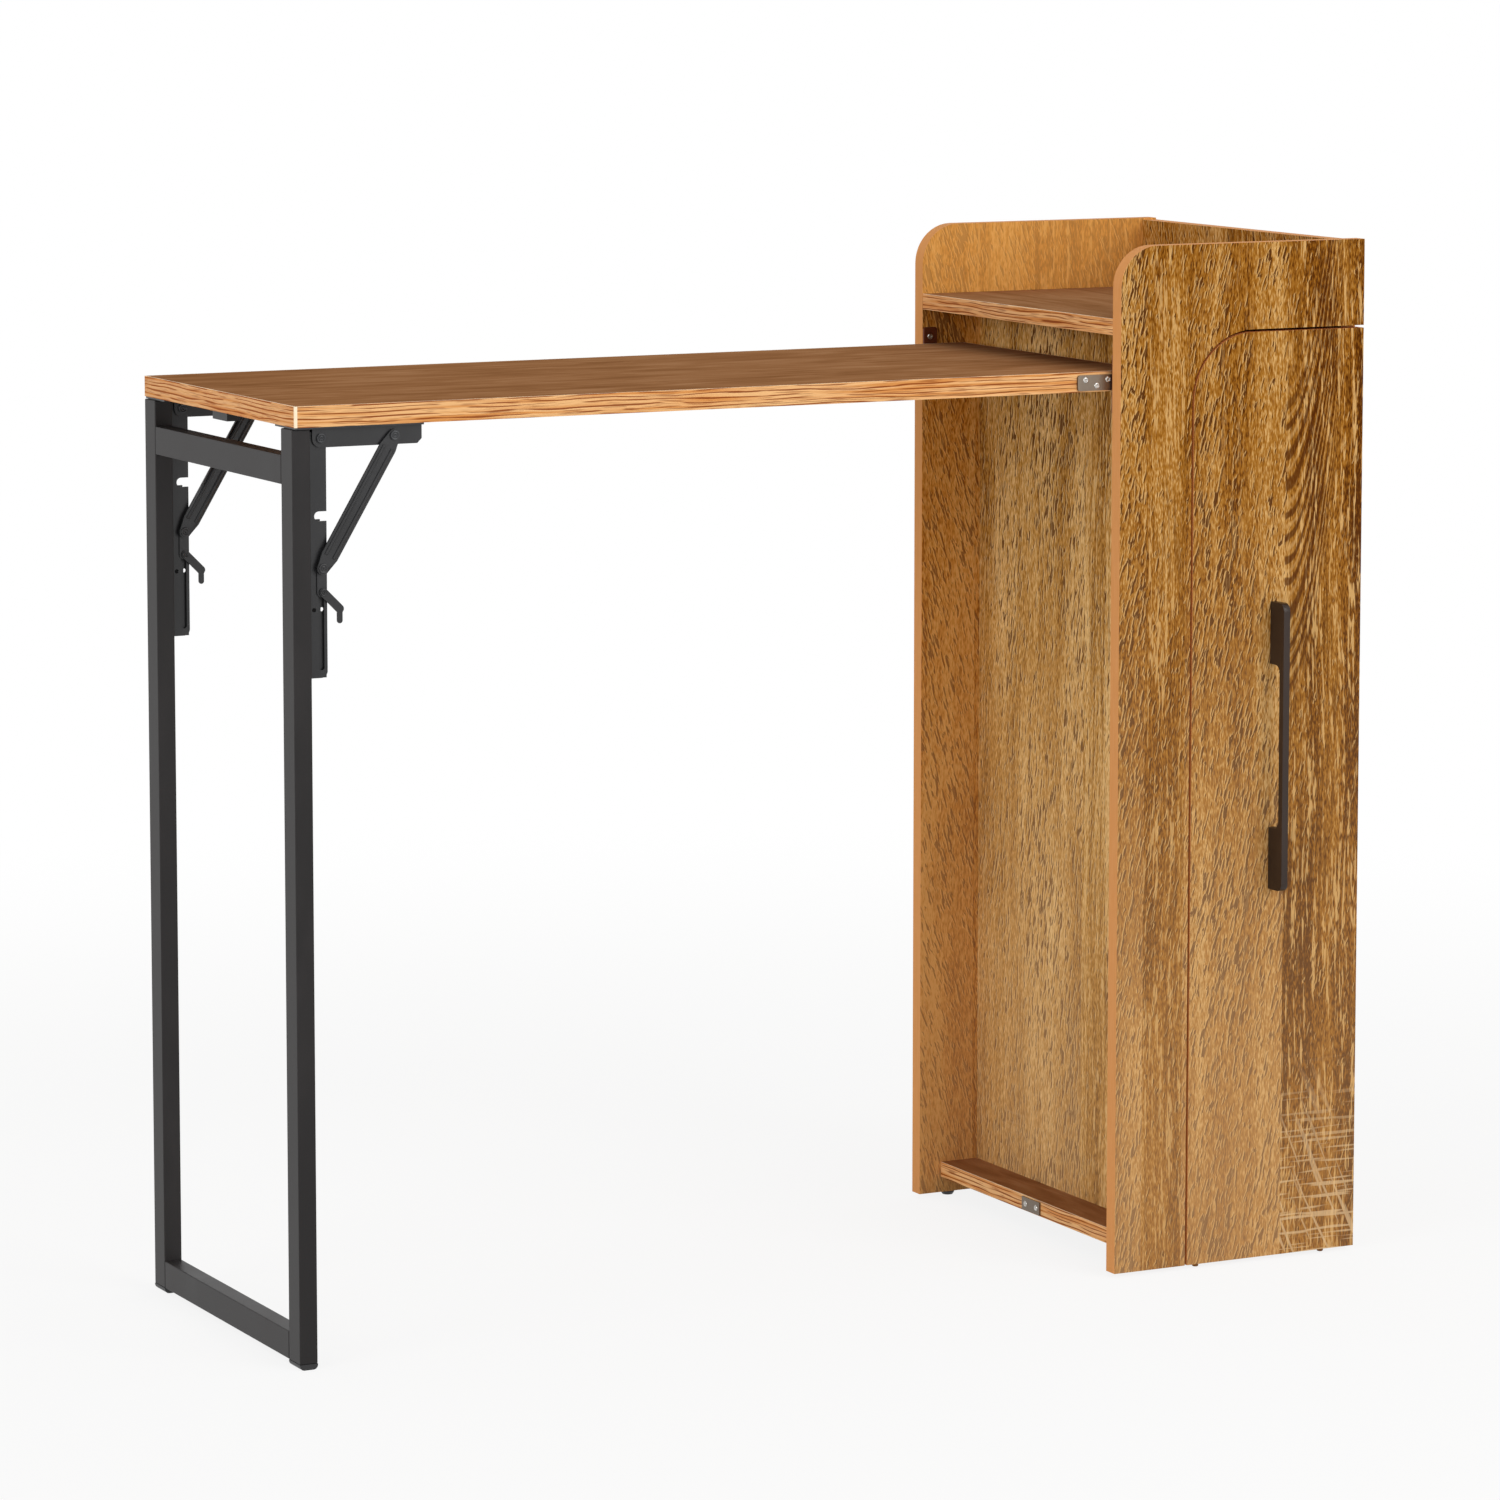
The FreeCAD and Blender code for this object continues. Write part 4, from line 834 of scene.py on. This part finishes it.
@dataclass
class Tabletop(Assembly):
    """The folding top with its band, hinge plates and bracket mounts."""

    band_ease: float = 0.0014

    def dress(self) -> None:
        """Give every node of the top its finish."""
        self.coat(["table_top"], TOP_BOARD)
        self.coat(["table_edge_band"], STRIPES)
        self.ease(["table_edge_band"], self.band_ease)
        self.coat(["hinge_edge_plates"], DULL_STEEL)
        self.coat(["catch_magnet"], PLASTIC)
        self.coat(["near_bracket_mount", "far_bracket_mount"], BRACKET)
        for node in ("hinge_edge_screws", "bracket_mount_screws"):
            self.shape_ends(node, "top", Slot.STEEL, STEEL, SCREW)
        self.shape_ends("bracket_pivot_pins", "top", Slot.BRACKET, RIVET_COAT_AND_SHEEN, RIVET)


@dataclass
class LegFrame(Assembly):
    """The folding leg, its slotted plates, braces, carriages and levers."""

    tube_ease: float = 0.0012

    def dress(self) -> None:
        """Give every node of the leg and its brackets a finish."""
        tubes = ["near_leg_post", "far_leg_post", "upper_crossbar", "lower_crossbar"]
        self.coat(tubes, TUBE)
        self.ease(tubes, self.tube_ease)
        self.coat(["leg_foot_caps", "leg_end_plugs"], PLASTIC)
        self.coat(["near_leg_plate", "far_leg_plate", "leg_plate_rivets"], BRACKET)
        for side in ("near", "far"):
            self.coat([f"{side}_release_lever"], BRACKET)
            self.shape_ends(f"{side}_brace_arm", f"{side}_brace", Slot.BRACKET, BRACKET, RIVET)
            self.shape_ends(f"{side}_slide_carriage", f"{side}_slider", Slot.BRACKET, BRACKET, RIVET)


@dataclass
class Trolley(Assembly):
    """The pull-out trolley with its front, shelves, handle and rollers."""

    handle_ease: float = 0.0010

    def dress(self) -> None:
        """Give every node of the trolley its finish."""
        self.coat(["trolley_front"], NEAR_OAK)
        self.coat(["trolley_rear"], INNER_OAK)
        self.coat(["trolley_base", "trolley_lower_shelf", "trolley_upper_shelf"], CROSS_BOARD)
        self.coat(["trolley_guard_rods", "roller_axles"], STEEL)
        self.shape_ends("handle_screws", "trolley", Slot.STEEL, STEEL, SCREW)
        self.coat(["trolley_handle"], HANDLE)
        self.ease(["trolley_handle"], self.handle_ease)
        self.shape_ends("trolley_front_buttons", "trolley", Slot.DOWEL, BUTTON, DOME)
        self.coat(["roller_brackets"], BRACKET)
        for end in ("front", "rear"):
            self.coat([f"{end}_left_roller", f"{end}_right_roller"], TYRE)


@dataclass(frozen=True)
class Lamp:
    """A square soft lamp: where it hangs, what it points at, its width and its power."""

    name: str
    place: tuple[float, float, float]
    aim: tuple[float, float, float]
    size: float
    power: float


LAMPS = (
    Lamp("key", (1.6, -4.2, 2.6), (0.2, 0.0, 0.5), 3.0, 100.0),
    Lamp("fill", (-7.0, -2.5, 1.5), (0.2, 0.0, 0.6), 3.6, 235.0),
    Lamp("top", (0.0, 0.4, 4.2), (0.0, 0.0, 0.4), 3.5, 20.0),
)


@dataclass
class Studio:
    """White floor and surroundings, soft lamps and the camera."""

    eye: Vector = field(default_factory=lambda: Vector((-2.9655, -5.8005, 1.5454)))
    yaw: float = 26.96
    pitch: float = 6.706
    focal: float = 6000.0
    centre_row: float = 570.0
    sensor: float = 36.0
    view_end: float = 60.0
    daylight: float = 0.5
    floor_half: float = 14.0
    floor_glow: float = 0.86

    def build(self) -> None:
        """Set up floor, world, lamps and camera."""
        self._floor()
        self._world()
        for lamp in LAMPS:
            self._hang(lamp)
        self._camera()
        bpy.context.scene.view_settings.view_transform = "Standard"

    def _camera(self) -> None:
        data = bpy.data.cameras.new("camera")
        data.sensor_width = self.sensor
        data.lens = self.focal / IMAGE_SIDE * data.sensor_width
        data.shift_y = (self.centre_row - IMAGE_SIDE / 2.0) / IMAGE_SIDE
        data.clip_end = self.view_end
        camera = bpy.data.objects.new("camera", data)
        camera.location = self.eye
        camera.rotation_euler = (math.radians(90.0 - self.pitch), 0.0, math.radians(-self.yaw))
        bpy.context.scene.collection.objects.link(camera)
        bpy.context.scene.camera = camera

    def _hang(self, lamp: Lamp) -> None:
        data = bpy.data.lights.new(lamp.name, "AREA")
        data.size = lamp.size
        data.energy = lamp.power
        holder = bpy.data.objects.new(lamp.name, data)
        holder.location = lamp.place
        beam = Vector(lamp.aim) - Vector(lamp.place)
        holder.rotation_euler = beam.to_track_quat("-Z", "Y").to_euler()
        bpy.context.scene.collection.objects.link(holder)

    def _backdrop_share(self, tree: bpy.types.NodeTree) -> bpy.types.NodeSocket:
        path = tree.nodes.new("ShaderNodeLightPath")
        total = path.outputs["Is Camera Ray"]
        for key in ("Is Glossy Ray", "Is Transmission Ray"):
            node = tree.nodes.new("ShaderNodeMath")
            node.operation = "MAXIMUM"
            tree.links.new(total, node.inputs[0])
            tree.links.new(path.outputs[key], node.inputs[1])
            total = node.outputs[0]
        return total

    def _world(self) -> None:
        world = bpy.data.worlds.new("studio")
        world.use_nodes = True
        bpy.context.scene.world = world
        tree = world.node_tree
        light = tree.nodes["Background"]
        light.inputs["Color"].default_value = (1.0, 0.99, 0.97, 1.0)
        light.inputs["Strength"].default_value = self.daylight
        white = tree.nodes.new("ShaderNodeBackground")
        white.inputs["Color"].default_value = (1.0, 1.0, 1.0, 1.0)
        mix = tree.nodes.new("ShaderNodeMixShader")
        tree.links.new(self._backdrop_share(tree), mix.inputs[0])
        tree.links.new(light.outputs[0], mix.inputs[1])
        tree.links.new(white.outputs[0], mix.inputs[2])
        tree.links.new(mix.outputs[0], tree.nodes["World Output"].inputs["Surface"])

    def _floor(self) -> None:
        mesh = bpy.data.meshes.new("floor")
        grid = bmesh.new()
        bmesh.ops.create_grid(grid, x_segments=4, y_segments=4, size=self.floor_half)
        grid.to_mesh(mesh)
        grid.free()
        floor = bpy.data.objects.new("floor", mesh)
        bpy.context.scene.collection.objects.link(floor)
        g = Graph("floor_paint")
        x, y, z = g.place()
        cloud = g.noise(x * 2.0, y * 2.0, z, 2.0)
        colour = g.mix(cloud, (0.8, 0.8, 0.8, 1.0), (0.84, 0.84, 0.84, 1.0))
        g.finish(colour, 0.9, None, Specular_IOR_Level=0.0)
        glow = g.node("ShaderNodeEmission")
        glow.inputs["Strength"].default_value = 1.0
        mix = g.node("ShaderNodeMixShader")
        far = g.soft(g.math("SQRT", x * x + y * y), 1.0, 3.2)
        share = Wire(g, self._backdrop_share(g.tree)) * (self.floor_glow + far * (1.0 - self.floor_glow))
        g.put(mix.inputs[0], share)
        g.tree.links.new(g.shader.outputs[0], mix.inputs[1])
        g.tree.links.new(glow.outputs[0], mix.inputs[2])
        g.tree.links.new(mix.outputs[0], g.tree.nodes["Material Output"].inputs["Surface"])
        mesh.materials.append(g.material)


def main() -> None:
    """Load the frame, dress every sub-assembly and set up the studio."""
    logging.basicConfig(level=logging.INFO)
    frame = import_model()
    palette = Palette()
    for kind in (Cabinet, Tabletop, LegFrame, Trolley):
        kind(frame, palette).dress()
    Studio().build()
    LOG.info("%d nodes dressed", len(frame["nodes"]))


if __name__ == "__main__":
    main()
